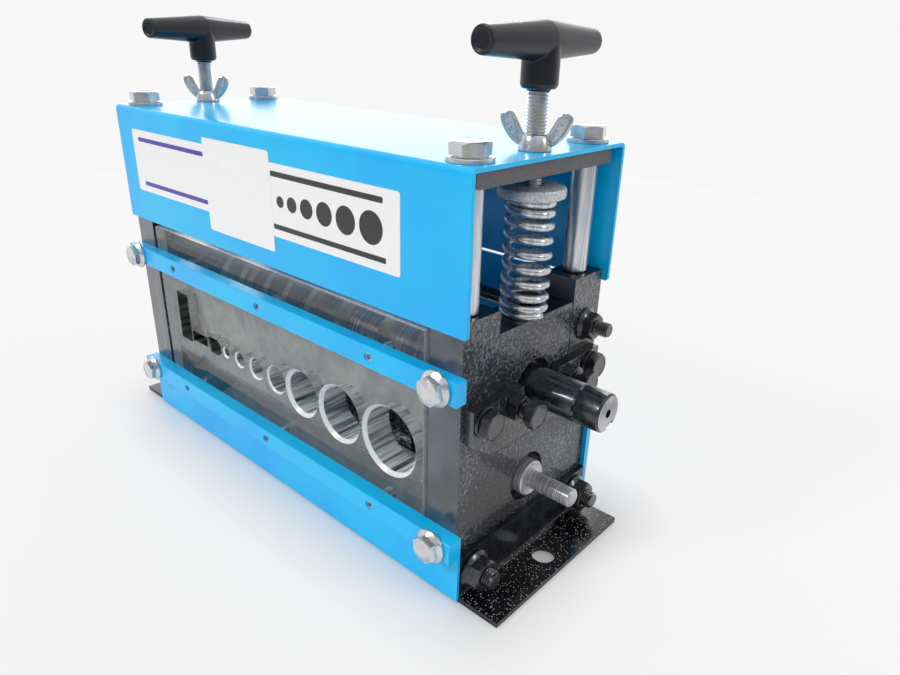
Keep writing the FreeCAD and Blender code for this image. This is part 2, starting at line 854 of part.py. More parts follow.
def lower_arbor():
    tail = -(INNER + S.bearing_width)
    step = END + S.drive_shoulder
    tip = step + S.drive_length
    radius, edge = S.shaft_radius, S.shaft_edge
    profile = [(tail, ZERO), (tail, radius - edge), (tail + edge, radius), (step - edge, radius),
               (step, radius - edge), (step, S.drive_radius), (tip - edge, S.drive_radius),
               (tip, S.drive_radius - edge), (tip, ZERO)]
    shaft = turned("LowerShaft", "x", [profile])
    bind(shaft, "Placement.Base.z", S.lower_axis)
    node(shaft, "lower_shaft")

    bore = radius
    half_gap = S.roller_spacer / 2
    stop = INNER - S.face_gap
    limit = stop - S.collar_width
    breaks = [(station_place(a) + station_place(b)) / 2 for a, b in zip(STATIONS, STATIONS[1:])]
    lows = [-limit] + [at + half_gap for at in breaks]
    highs = [at - half_gap for at in breaks] + [limit]
    drums = []
    for letter, low, high in zip(STATIONS, lows, highs):
        drums.append(disc(low, high, bore, station("roller", letter), S.roller_edge))
    rollers = turned("Rollers", "x", drums)
    bind(rollers, "Placement.Base.z", S.lower_axis)
    node(rollers, "feed_rollers")

    rings = [disc(at - half_gap, at + half_gap, bore, S.spacer_radius, S.stack_edge) for at in breaks]
    spacers = turned("RollerSpacers", "x", rings)
    bind(spacers, "Placement.Base.z", S.lower_axis)
    node(spacers, "roller_spacers")

    ends = [disc(-stop, -limit, bore, S.spacer_radius, S.stack_edge),
            disc(limit, stop, bore, S.spacer_radius, S.stack_edge)]
    collars = turned("LowerCollars", "x", ends)
    bind(collars, "Placement.Base.z", S.lower_axis)
    node(collars, "lower_end_collars")


# ---- guide plate, bars, guard ----------------------------------------------

def guide_plate():
    body = new_body("GuidePlate")
    half = INNER - S.guide_gap
    low = S.feed_line - S.low_height / 2
    dee = S.dee_height / 2
    bevel = S.dee_bevel
    flat, low_slot, dee_slot = (station_place(letter) for letter in "abc")
    dee_left = dee_slot - S.dee_width / 2
    dee_right = dee_slot + S.dee_width / 2
    outlines = [
        rectangle(-half, half, S.tie_height + S.tie_radius + S.guide_rod_gap, S.guide_top),
        rectangle(flat - S.flat_width / 2, flat + S.flat_width / 2,
                  S.feed_line - S.flat_below, S.feed_line + S.flat_above),
        rectangle(low_slot - S.low_width / 2, low_slot + S.low_width / 2, low, low + S.low_height),
        polygon((dee_left, S.feed_line - dee), (dee_right - bevel, S.feed_line - dee),
                (dee_right, S.feed_line - dee + bevel), (dee_right, S.feed_line + dee - bevel),
                (dee_right - bevel, S.feed_line + dee), (dee_left, S.feed_line + dee)),
    ]
    for letter in ROUND_STATIONS:
        outlines.append(circle(station_place(letter), S.feed_line, station("bore", letter)))
    for height in (S.upper_bar_line, S.lower_bar_line):
        for step in (-1, 0, 1):
            outlines.append(circle(step * S.guide_screw_spacing, height, S.guide_screw_room))
    pad(body, "y", FRONT, FRONT + S.guide_thick, *outlines)
    for letters, rim in (("defg", S.small_rim), ("hij", S.large_rim)):
        radii = [station("bore", letter).value for letter in letters]
        dress(body, "Chamfer", rim,
              lambda edge: edge.Curve.TypeId == "Part::GeomCircle" and near(edge.CenterOfMass.y, FRONT)
              and near(edge.CenterOfMass.z, S.feed_line)
              and min(abs(edge.Curve.Radius - radius) for radius in radii) < 1e-4)
    return node(body, "guide_plate")


def clamp_bar(label, back, line):
    body = new_body("ClampBar")
    half = END + S.bar_overhang
    tall = S.bar_height / 2
    bolt = END - S.clamp_bolt_inset
    holes = [circle(side * bolt, line, S.bolt_eight + S.hole_gap) for side, word in SIDES]
    for step in (-1, 0, 1):
        holes.append(circle(step * S.guide_screw_spacing, line, S.guide_screw_radius + S.thread_gap))
    pad(body, "y", back - S.bar_depth, back, rectangle(-half, half, line - tall, line + tall), *holes)
    dress(body, "Chamfer", S.bar_edge,
          lambda edge: runs_along(edge, "x") and near(edge.CenterOfMass.y, back - S.bar_depth))
    return node(body, label)


def skirt():
    body = new_body("Skirt")
    half = END + S.bar_overhang
    top = S.lower_bar_line + S.bar_height / 2
    low = S.skirt_bottom
    corner = S.skirt_corner
    holes = [circle(side * (END - S.clamp_bolt_inset), S.lower_bar_line, S.bolt_eight + S.hole_gap)
             for side, word in SIDES]
    screw = S.guide_screw_radius + S.hole_gap
    for step in (-1, 0, 1):
        holes.append(circle(step * S.guide_screw_spacing, S.lower_bar_line, screw))
    pad(body, "y", FRONT - S.skirt_thick, FRONT, rectangle(-half, half, low, top), *holes)
    dress(body, "Fillet", corner,
          lambda edge: runs_along(edge, "y") and near(edge.CenterOfMass.z, low))
    return node(body, "front_skirt")


def front_fasteners():
    spots = []
    for line, back in ((S.upper_bar_line, BAR_BACK), (S.lower_bar_line, LOWER_BAR_BACK)):
        for side, word in SIDES:
            across = side * (END - S.clamp_bolt_inset)
            spots.append((across, back - S.bar_depth, line, TO_FRONT, TIGHT_CLAMP_BOLT * side))
    grip = S.bar_depth + S.clamp_bolt_grip - S.hole_gap
    bolt = hex_bolt(S.bolt_eight, grip, S.flats_eight, S.flange_head_eight, S.flange_eight)
    copies("clamp_bolts", bolt, spots)

    socket = hexagon(S.guide_screw_socket, -S.guide_socket_depth, S.guide_socket_depth)
    body = cut(rod("z", S.guide_screw_radius, -S.guide_screw_length, ZERO), socket)
    pins = []
    sunk = S.guide_screw_sunk
    for line, back in ((S.upper_bar_line, BAR_BACK), (S.lower_bar_line, LOWER_BAR_BACK)):
        for step in (-1, 0, 1):
            pins.append((step * S.guide_screw_spacing, back - S.bar_depth + sunk, line, TO_FRONT, 0))
    copies("guide_screws", body, pins)


def rear_guard():
    body = new_body("RearGuard")
    half = END + S.guard_overhang
    holes = []
    for side, word in SIDES:
        for height in guard_bolt_heights():
            holes.append(circle(side * MIDDLE, height, S.bolt_eight + S.hole_gap))
    mouth = INNER - S.exit_inset
    pad(body, "y", BACK, BACK + S.guard_thick,
        polygon((-half, S.guard_bottom), (half, S.guard_bottom), (half, S.guard_top),
                (mouth, S.guard_top), (mouth, S.exit_bottom), (-mouth, S.exit_bottom),
                (-mouth, S.guard_top), (-half, S.guard_top)),
        *holes)
    dress(body, "Fillet", S.guard_thick, lambda edge: runs_along(edge, "y") and not round_hole(edge))
    node(body, "rear_guard")

    spots = []
    for side, word in SIDES:
        for height in guard_bolt_heights():
            spots.append((side * MIDDLE, BACK + S.guard_thick, height, TO_BACK, 0))
    grip = S.guard_thick + S.clamp_bolt_grip - S.hole_gap
    bolt = hex_bolt(S.bolt_eight, grip, S.flats_eight, S.flange_head_eight, S.flange_eight)
    copies("guard_bolts", bolt, spots)


def round_hole(edge):
    return edge.Curve.TypeId == "Part::GeomCircle"


def rear_screen():
    body = new_body("RearScreen")
    half = END - S.screen_inset
    holes = []
    spots = []
    for side, word in SIDES:
        for height in screen_screw_heights():
            holes.append(circle(side * MIDDLE, height, S.screw_radius + S.hole_gap))
            spots.append((side * MIDDLE, BACK + S.screen_thick, height, TO_BACK, 0))
    mouth = INNER - S.exit_inset
    pad(body, "y", BACK, BACK + S.screen_thick,
        polygon((-half, S.screen_bottom), (-mouth, S.screen_bottom), (-mouth, S.exit_top),
                (mouth, S.exit_top), (mouth, S.screen_bottom), (half, S.screen_bottom),
                (half, SCREEN_TOP), (-half, SCREEN_TOP)),
        *holes)
    node(body, "rear_screen")

    head = cone("z", S.screw_head_radius, S.screw_crown_radius, ZERO, S.screw_head)
    socket = hexagon(S.screw_socket, S.screw_head / 2, S.screw_head * 2)
    shank = rod("z", S.screw_radius, S.hole_gap - S.screw_length, ZERO)
    copies("screen_screws", cut(fuse(head, shank), socket), spots)


# ---- cover, cross bars, posts ----------------------------------------------

def cover():
    body = new_body("Cover")
    half = END + S.cover_overhang
    outer = BACK + S.cover_sheet
    pad(body, "x", -half, half, rectangle(-outer, outer, S.cover_bottom, S.cover_top))
    dress(body, "Fillet", S.cover_bend,
          lambda edge: runs_along(edge, "x") and near(edge.CenterOfMass.z, S.cover_top))
    pocket(body, "x", -half, half, rectangle(FRONT, BACK, S.cover_bottom, CROSS_TOP))
    dress(body, "Fillet", S.cover_bend - S.cover_sheet,
          lambda edge: runs_along(edge, "x") and near(edge.CenterOfMass.z, CROSS_TOP))
    dress(body, "Chamfer", S.cover_corner,
          lambda edge: runs_along(edge, "y") and near(edge.CenterOfMass.z, S.cover_bottom))
    holes = []
    for side, word in SIDES:
        for line in (S.post_line, -S.post_line):
            holes.append(circle(side * MIDDLE, line, S.bolt_ten + S.hole_gap))
        holes.append(circle(side * MIDDLE, ZERO, S.thread_radius + S.screw_hole_gap))
    pocket(body, "z", CROSS_TOP, S.cover_top, *holes)
    return node(body, "cover")


def cross_bar(side, word):
    body = new_body("CrossBar")
    half = S.cross_length / 2
    pad(body, "z", CROSS_FOOT, CROSS_TOP,
        rectangle(*span(side, INNER, END), -half, half),
        circle(side * MIDDLE, S.post_line, S.bolt_ten + S.hole_gap),
        circle(side * MIDDLE, -S.post_line, S.bolt_ten + S.hole_gap),
        circle(side * MIDDLE, ZERO, S.thread_radius + S.thread_gap))
    dress(body, "Fillet", S.cross_corner,
          lambda edge: runs_along(edge, "x") and near(abs(edge.CenterOfMass.y), half))
    return node(body, "cross_bar_" + word)


def posts():
    height = CROSS_FOOT - S.horn_height
    bore = S.bolt_ten + S.hole_gap
    edge = S.post_edge
    profile = [(ZERO, bore), (ZERO, S.post_radius - edge), (edge, S.post_radius),
               (height - edge, S.post_radius), (height, S.post_radius - edge), (height, bore)]
    sleeve = turned("Post", "z", [profile])
    places = [(side * MIDDLE, line) for side, word in SIDES for line in (S.post_line, -S.post_line)]
    copies("post_sleeves", sleeve, [(x, y, S.horn_height, UP, 0) for x, y in places])
    ring = washer(S.bolt_ten + S.hole_gap, S.washer_ten, S.washer_ten_thick)
    copies("cover_washers", ring, [(x, y, S.cover_top, UP, 0) for x, y in places])
    head = S.cover_top + S.washer_ten_thick
    bolt = hex_bolt(S.bolt_ten, head - POST_TIP - S.hole_gap, S.flats_ten, S.head_ten)
    copies("post_bolts", bolt, [(x, y, head, UP, TIGHT_POST_BOLT) for x, y in places])


# ---- pressure screws -------------------------------------------------------

def spring_seat(side, word):
    bore = S.thread_radius + S.thread_gap
    foot_z = SEAT_FOOT - S.seat_hub
    floor = foot_z + S.seat_bore_floor
    edge = S.seat_edge
    profile = [(foot_z, ZERO), (foot_z, S.seat_hub_radius), (SEAT_FOOT, S.seat_hub_radius),
               (SEAT_FOOT, S.seat_radius - edge), (SEAT_FOOT + edge, S.seat_radius),
               (SEAT_TOP - edge, S.seat_radius), (SEAT_TOP, S.seat_radius - edge),
               (SEAT_TOP, bore), (floor, bore), (floor, ZERO)]
    body = turned("Seat", "z", [profile])
    bind(body, "Placement.Base.x", side * MIDDLE)
    return node(body, "spring_seat_" + word)


def pressure_spring(side, word):
    """A spring with a true helix, ground flat on both ends."""
    low, high = BLOCK_TOP.value, SEAT_FOOT.value
    wire = S.spring_wire.value / 2
    middle = S.spring_radius.value - wire
    room = high - low
    coils = S.spring_coils.value
    pitch = room / coils
    helix = Part.makeHelix(pitch, pitch * (coils + 1), middle)
    start = Vector(middle, 0, 0)
    tangent = Vector(0, 2 * math.pi * middle, pitch)
    section = Part.Wire([Part.makeCircle(wire, start, tangent)])
    coil = Part.Wire(helix).makePipeShell([section], True, True)
    coil.translate(Vector(0, 0, -pitch / 2))
    slab = Part.makeBox(4 * middle, 4 * middle, room, Vector(-2 * middle, -2 * middle, 0))
    shape = coil.common(slab)
    obj = doc.addObject("Part::Feature", "Spring")
    obj.Shape = shape
    obj.Placement = FreeCAD.Placement(Vector((side * MIDDLE).value, 0, low), FreeCAD.Rotation())
    return node(obj, "pressure_spring_" + word)


def pressure_screw(side, word):
    low = SEAT_FOOT - S.seat_hub + S.seat_bore_floor + S.thread_gap
    high = S.cover_top + S.handle_lift + S.stem_screw
    edge = S.thread_edge
    radius = S.thread_radius
    profile = [(low, ZERO), (low, radius - edge), (low + edge, radius), (high, radius), (high, ZERO)]
    body = turned("PressureScrew", "z", [profile])
    bind(body, "Placement.Base.x", side * MIDDLE)
    return node(body, "pressure_screw_" + word)


def tee_handle(side, word):
    low = S.cover_top + S.handle_lift
    axis = low + S.stem_height
    half = S.arm_length / 2
    stem = rod("z", S.stem_radius, low + S.stem_edge, axis)
    stem_foot = cone("z", S.stem_radius - S.stem_edge, S.stem_radius, low, low + S.stem_edge)
    front_arm = cone("y", S.arm_end_radius, S.arm_middle_radius, -half, ZERO, ZERO, axis)
    back_arm = cone("y", S.arm_middle_radius, S.arm_end_radius, ZERO, half, ZERO, axis)
    dish = S.arm_end_radius - S.arm_wall
    front_dish = rod("y", dish, -half, -half + S.arm_recess, ZERO, axis)
    back_dish = rod("y", dish, half - S.arm_recess, half, ZERO, axis)
    socket = rod("z", S.thread_radius, low, low + S.stem_screw)
    shape = cut(fuse(stem, stem_foot, front_arm, back_arm), front_dish, back_dish, socket)
    turn = station(word, "handle_turn")
    shape.Placement = FreeCAD.Placement(Vector(), FreeCAD.Rotation(UP, turn.value))
    bind(shape, "Placement.Base.x", side * MIDDLE)
    bind(shape, "Placement.Rotation.Angle", turn)
    return node(shape, "tee_handle_" + word)


def wing_nut(side, word):
    """A forged wing nut: a hub with two flat wings that rise and lean out from it."""
    body = new_body("WingNut")
    base = S.cover_top
    hub = S.wing_hub_radius
    collar = base + S.wing_hub
    knee = hub + S.wing_knee
    bend = base + S.wing_bend
    outer = S.wing_span / 2
    inner = outer - S.wing_tip
    top = base + S.wing_height
    shoulder = top - S.wing_lean
    pad(body, "y", -S.wing_thick / 2, S.wing_thick / 2,
        polygon((-hub, base), (hub, base), (knee, bend), (outer, shoulder), (inner, top), (hub, collar),
                (-hub, collar), (-inner, top), (-outer, shoulder), (-knee, bend)))
    pad(body, "z", base, collar, circle(ZERO, ZERO, hub))
    pocket(body, "z", base, collar, circle(ZERO, ZERO, S.thread_radius + S.thread_gap))
    turn = station(word, "wing_turn")
    body.Placement = FreeCAD.Placement(Vector(), FreeCAD.Rotation(UP, turn.value))
    bind(body, "Placement.Base.x", side * MIDDLE)
    bind(body, "Placement.Rotation.Angle", turn)
    return node(body, "wing_nut_" + word)


# ---- build, check, write ---------------------------------------------------

def build():
    for side, word in SIDES:
        end_plate(side, word)
        foot(side, word)
        keeper(side, word)
        block(side, word)
        cross_bar(side, word)
        spring_seat(side, word)
        pressure_spring(side, word)
        pressure_screw(side, word)
        tee_handle(side, word)
        wing_nut(side, word)
    tie_rods()
    bearings()
    keeper_fasteners()
    upper_arbor()
    lower_arbor()
    guide_plate()
    clamp_bar("upper_clamp_bar", BAR_BACK, S.upper_bar_line)
    clamp_bar("lower_clamp_bar", LOWER_BAR_BACK, S.lower_bar_line)
    skirt()
    front_fasteners()
    rear_guard()
    rear_screen()
    cover()
    posts()
    doc.recompute()


def check():
    for obj in doc.Objects:
        if "Invalid" in obj.State or "Error" in obj.State:
            raise RuntimeError("%s (%s) did not recompute: %s" % (obj.Name, obj.Label, obj.State))
    for before, feature in cuts:
        if not feature.Shape.Volume < before.Shape.Volume - 1e-6:
            raise RuntimeError("%s cuts nothing" % feature.Name)
    for obj in nodes:
        if obj.Shape.isNull() or not obj.Shape.isValid() or obj.Shape.Volume <= 0:
            raise RuntimeError("%s has no valid shape" % obj.Label)


def write():
    os.makedirs("parts", exist_ok=True)
    for obj in nodes:
        obj.Shape.exportStep(os.path.join("parts", obj.Label + ".step"))


build()
check()
write()
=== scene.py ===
import json
import math

import bmesh
import bpy
from mathutils import Euler, Matrix, Vector

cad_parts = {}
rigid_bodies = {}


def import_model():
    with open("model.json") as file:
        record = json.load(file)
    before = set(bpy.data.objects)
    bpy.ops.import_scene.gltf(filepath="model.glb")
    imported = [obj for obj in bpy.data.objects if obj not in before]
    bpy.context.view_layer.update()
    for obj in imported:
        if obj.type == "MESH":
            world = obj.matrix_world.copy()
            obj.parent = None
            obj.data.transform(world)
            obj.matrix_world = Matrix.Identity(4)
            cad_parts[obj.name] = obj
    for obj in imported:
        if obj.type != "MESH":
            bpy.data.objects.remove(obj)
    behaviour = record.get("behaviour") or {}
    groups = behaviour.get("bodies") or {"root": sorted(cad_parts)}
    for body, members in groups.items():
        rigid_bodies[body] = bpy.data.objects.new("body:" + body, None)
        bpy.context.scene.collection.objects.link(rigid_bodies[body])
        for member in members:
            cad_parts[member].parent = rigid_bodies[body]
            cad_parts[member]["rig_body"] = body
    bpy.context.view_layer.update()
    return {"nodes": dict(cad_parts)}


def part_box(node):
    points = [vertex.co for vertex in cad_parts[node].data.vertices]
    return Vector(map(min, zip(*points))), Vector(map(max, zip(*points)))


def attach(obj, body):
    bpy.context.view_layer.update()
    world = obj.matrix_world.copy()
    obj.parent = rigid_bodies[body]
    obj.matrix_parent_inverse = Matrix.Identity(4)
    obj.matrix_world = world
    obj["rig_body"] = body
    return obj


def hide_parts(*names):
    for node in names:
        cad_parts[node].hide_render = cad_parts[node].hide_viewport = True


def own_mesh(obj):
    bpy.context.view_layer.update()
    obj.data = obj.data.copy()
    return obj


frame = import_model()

bl_info = {
    "name": "Bench Wire Stripper",
    "version": (1, 0, 0),
    "blender": (4, 5, 0),
    "location": "3D View > Sidebar > Wire Stripper",
    "description": "Dresses a bench wire stripper: paint, clear guide, threads, springs and handles",
    "category": "Object",
}

BODIES = {name: item["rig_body"] for name, item in frame["nodes"].items()}
MM = 0.001
DEGREE = math.pi / 180
CREASE = 28 * DEGREE            # edges sharper than this keep a crisp line
SIDES = ((1, "right"), (-1, "left"))
BOTH = (1, -1)
CORNERS = [(side, line) for side in BOTH for line in BOTH]

# Places in millimetres from the middle of the part, at bench level.
SCREW_X = 140                   # pressure screws and posts
PLATE_X, KEEPER_X = 150, 155    # outer faces of the end plates and of the keeper plates
POST_Y = 45                     # posts, and the keeper bolts below them
JACK_Y = 23
KEEPER_Z = 102.5                # middle of the keeper plates
LOW_ROD_Y, LOW_ROD_Z = 46, 15.5
TOP_ROD_Y, TOP_ROD_Z = 44, 125
COVER_TOP = 220
HANDLE_FOOT, HANDLE_AXIS = 245.5, 266
COVER_FRONT = -59.0

# Stations of the ten openings along the arbors, and the feed roller under each.
HALF_INSIDE = 130.0
SHARES = (-0.7808, -0.6446, -0.4946, -0.3969, -0.2769, -0.1362, 0.0246, 0.2162, 0.4754, 0.7808)
STATIONS = [HALF_INSIDE * share for share in SHARES]
ROLLER_RADII = (22.0, 23.5, 22.5, 24.5, 24.0, 23.0, 22.0, 20.0, 18.0, 16.5)
ROLLER_GAP = 5.0


# ---- colours and node trees ------------------------------------------------

def linear(hex_colour):
    """sRGB hex text to linear RGB."""
    channels = [int(hex_colour[k:k + 2], 16) / 255 for k in (1, 3, 5)]
    return tuple(c / 12.92 if c <= 0.04045 else ((c + 0.055) / 1.055) ** 2.4 for c in channels)


def dimmed(share, colour):
    return tuple(share * c for c in colour)


def add(tree, kind, sockets=None, **settings):
    """A node with its settings; each socket gets a value, or the outputs that feed it."""
    item = tree.nodes.new(kind)
    for name, value in settings.items():
        setattr(item, name, value)
    for name, value in (sockets or {}).items():
        feeds = value if isinstance(value, list) else [value]
        for feed in feeds:
            if isinstance(feed, bpy.types.NodeSocket):
                tree.links.new(feed, item.inputs[name])
            else:
                item.inputs[name].default_value = feed
    return item


def reckon(tree, operation, *values):
    """The result of a maths node."""
    return add(tree, "ShaderNodeMath", dict(enumerate(values)), operation=operation).outputs[0]


def reckon_vector(tree, operation, *values):
    """The result of a vector node: a number where the operation gives one."""
    item = add(tree, "ShaderNodeVectorMath", dict(enumerate(values)), operation=operation)
    return item.outputs["Value" if operation in ("LENGTH", "DOT_PRODUCT") else "Vector"]


def spread(tree, value, low=0.0, high=1.0, start=0.0, stop=1.0, **settings):
    """A value that runs from start to stop, spread from low to high."""
    sockets = {"Value": value, "From Min": start, "From Max": stop, "To Min": low, "To Max": high}
    return add(tree, "ShaderNodeMapRange", sockets, **settings).outputs["Result"]


def split(tree, place):
    return add(tree, "ShaderNodeSeparateXYZ", {0: place}).outputs


def point(tree, x=0.0, y=0.0, z=0.0):
    return add(tree, "ShaderNodeCombineXYZ", {"X": x, "Y": y, "Z": z}).outputs[0]


def graded(tree, amount, stops):
    """A colour ramp from (place, colour) stops."""
    ramp = add(tree, "ShaderNodeValToRGB", {"Fac": amount})
    points = ramp.color_ramp.elements
    while len(points) < len(stops):
        points.new(0.5)
    for entry, (at, colour) in zip(points, stops):
        entry.position = at
        entry.color = (*colour, 1.0)
    return ramp.outputs["Color"]


class Surface:
    """A material with one shader; its patterns lie in object space, at sizes in millimetres."""

    def __init__(self, name, **sockets):
        self.material = bpy.data.materials.new(name)
        self.material.use_nodes = True
        self.tree = self.material.node_tree
        self.tree.nodes.clear()
        self.shader = add(self.tree, "ShaderNodeBsdfPrincipled")
        self.end = add(self.tree, "ShaderNodeOutputMaterial", {"Surface": self.shader.outputs["BSDF"]})
        for socket, value in sockets.items():
            field = self.shader.inputs[socket.replace("_", " ")]
            field.default_value = (*value, 1.0) if field.type == "RGBA" else value
        self.place = add(self.tree, "ShaderNodeTexCoord").outputs["Object"]

    def noise(self, size, detail, rough=0.5, stretch=None, distortion=0.0):
        place = self.place
        if stretch:
            place = add(self.tree, "ShaderNodeMapping", {"Vector": place, "Scale": stretch}).outputs["Vector"]
        sockets = {"Vector": place, "Scale": 1 / (size * MM), "Detail": detail, "Roughness": rough,
                   "Distortion": distortion}
        return add(self.tree, "ShaderNodeTexNoise", sockets).outputs["Fac"]

    def cells(self, size):
        return add(self.tree, "ShaderNodeTexVoronoi", {"Vector": self.place, "Scale": 1 / (size * MM)}).outputs

    def feed(self, socket, output):
        self.tree.links.new(output, self.shader.inputs[socket])

    def colour(self, amount, *stops):
        self.feed("Base Color", graded(self.tree, amount, stops))

    def rough(self, amount, *levels):
        self.feed("Roughness", spread(self.tree, amount, *levels))

    def relief(self, height, depth, strength=1.0):
        """Bumps by a height between 0 and 1 that stands for a depth in millimetres."""
        sockets = {"Height": height, "Distance": depth * MM, "Strength": strength}
        self.feed("Normal", add(self.tree, "ShaderNodeBump", sockets).outputs["Normal"])


def patterned(name, noise, stops, fine=None, rough=None, relief=None, **sockets):
    """A maker of a finish: a noise in its colour, and the same noise or a finer one in its skin."""
    def make(colours):
        it = Surface(name, **sockets)
        coarse = it.noise(*noise)
        it.colour(coarse, *((place, getattr(colours, tone)) for place, tone in stops))
        grain = it.noise(*fine) if fine else coarse
        if rough:
            it.rough(grain, *rough)
        if relief:
            it.relief(grain, relief)
        return it.material
    return make


# ---- finishes --------------------------------------------------------------

def dusty_black_enamel(colours):
    # Brushed-on gloss enamel over the sawn sides of the plates: black under a painted grey sheen, which stands
    # in for the light these faces reflect, and a few dust nibs in the relief.
    it = Surface("dusty_black_enamel", Coat_Weight=1.0, Coat_Roughness=0.15, IOR=1.5)
    clouds = it.noise(25, 4)
    # Painted sheen: the colour runs between two lighter blacks.
    it.colour(clouds, (0.3, colours.black_soft_sheen), (0.7, colours.black_sheen))
    it.rough(clouds, 0.22, 0.36, 0.3, 0.7)
    it.relief(spread(it.tree, it.cells(3.5)["Distance"], 1.0, 0.0, 0.06, 0.14), 0.05, 0.6)
    return it.material


def crinkle_black_enamel(colours):
    # Wrinkle-finish enamel over rough plate: wet black bumps, their crests painted lighter as painted glints,
    # in broad clouds of painted highlight across the face.
    it = Surface("wrinkle_black_enamel", Roughness=0.2, Coat_Weight=0.6, Coat_Roughness=0.1, IOR=1.5)
    grain = it.noise(1.7, 2, 0.6, distortion=0.4)
    glint = reckon(it.tree, "MULTIPLY_ADD", it.noise(42, 2), 0.6, grain)
    # Painted highlight: black in the pits, lighter towards the crests and in the clouds.
    it.colour(glint, (0.72, colours.black), (0.86, colours.black_soft_sheen), (1.0, colours.wrinkle_glint))
    it.relief(grain, 1.1)
    return it.material


def sparkling_black_enamel(colours):
    # The feet's enamel: bright pinpoints in a deep gloss, painted in as painted glints over small bumps.
    it = Surface("gritty_black_enamel", Roughness=0.16, IOR=1.5)
    glint_dots = it.cells(1.15)
    pinpoint = spread(it.tree, glint_dots["Distance"], 1.0, 0.0, 0.14, 0.34)
    chance = add(it.tree, "ShaderNodeSeparateColor", {"Color": glint_dots["Color"]}).outputs["Red"]
    spark = reckon(it.tree, "MULTIPLY", pinpoint, reckon(it.tree, "GREATER_THAN", chance, 0.52))
    it.colour(spark, (0.2, colours.black), (0.9, colours.glint_dots))
    it.relief(spark, 0.15)
    return it.material


def clear_acrylic(colours):
    # Cast acrylic, flame-polished: water clear, with faint scuffs.
    it = Surface("polished_clear_acrylic", Base_Color=colours.acrylic, IOR=1.49, Transmission_Weight=1.0)
    it.rough(it.noise(20, 6, 0.7), 0.0, 0.12, 0.5, 0.8)
    return it.material


def cut_acrylic(colours):
    # Acrylic in the bores: light and dark streaks along them are painted reflections over bumps like the
    # cutter's marks; the wide ones show bright and the narrow ones, which lie to the left, are dimmed as
    # painted shade.
    it = Surface("bored_acrylic", IOR=1.49, Transmission_Weight=0.4)
    streak = it.noise(3.0, 4, stretch=(1.0, 0.05, 1.0))
    tone = graded(it.tree, streak, ((0.32, colours.bore_dark_reflection), (0.44, colours.bore_mid_reflection),
                                    (0.54, colours.acrylic)))
    # Painted shade: the colour is dimmed towards the narrow bores on the left.
    lit = spread(it.tree, split(it.tree, it.place)["X"], 0.1, 1.0, -72 * MM, -25 * MM)
    shown = add(it.tree, "ShaderNodeVectorMath", {0: tone, "Scale": lit}, operation="SCALE")
    it.feed("Base Color", shown.outputs["Vector"])
    it.rough(streak, 0.04, 0.35, 0.35, 0.65)
    it.relief(streak, 0.2)
    return it.material


def hazed_acrylic(colours):
    # The guide's back, scuffed matt by the wire between the two bars and still clear above and below.
    it = Surface("scuffed_acrylic", IOR=1.49)
    height = split(it.tree, it.place)["Z"]
    above = spread(it.tree, height, start=116 * MM, stop=121 * MM)
    below = spread(it.tree, height, start=56 * MM, stop=50 * MM)
    clear = reckon(it.tree, "MAXIMUM", above, below)
    it.feed("Transmission Weight", spread(it.tree, clear, 0.2, 1.0))
    # The mottle between the two haze colours is painted light and shade.
    it.colour(it.noise(16, 6, 0.65, distortion=0.8), (0.35, colours.haze_dark), (0.7, colours.haze))
    it.rough(clear, 0.5, 0.02)
    return it.material


def printed_label(name, colour):
    # Vinyl sticker, screen printed: even colour under a thin clear film, slightly eggshell.
    it = Surface(name, Roughness=0.32, Coat_Weight=0.3, IOR=1.5)
    lay = it.noise(5, 2)
    it.colour(lay, (0.3, dimmed(0.98, colour)), (0.7, colour))
    it.relief(lay, 0.004)
    return it.material


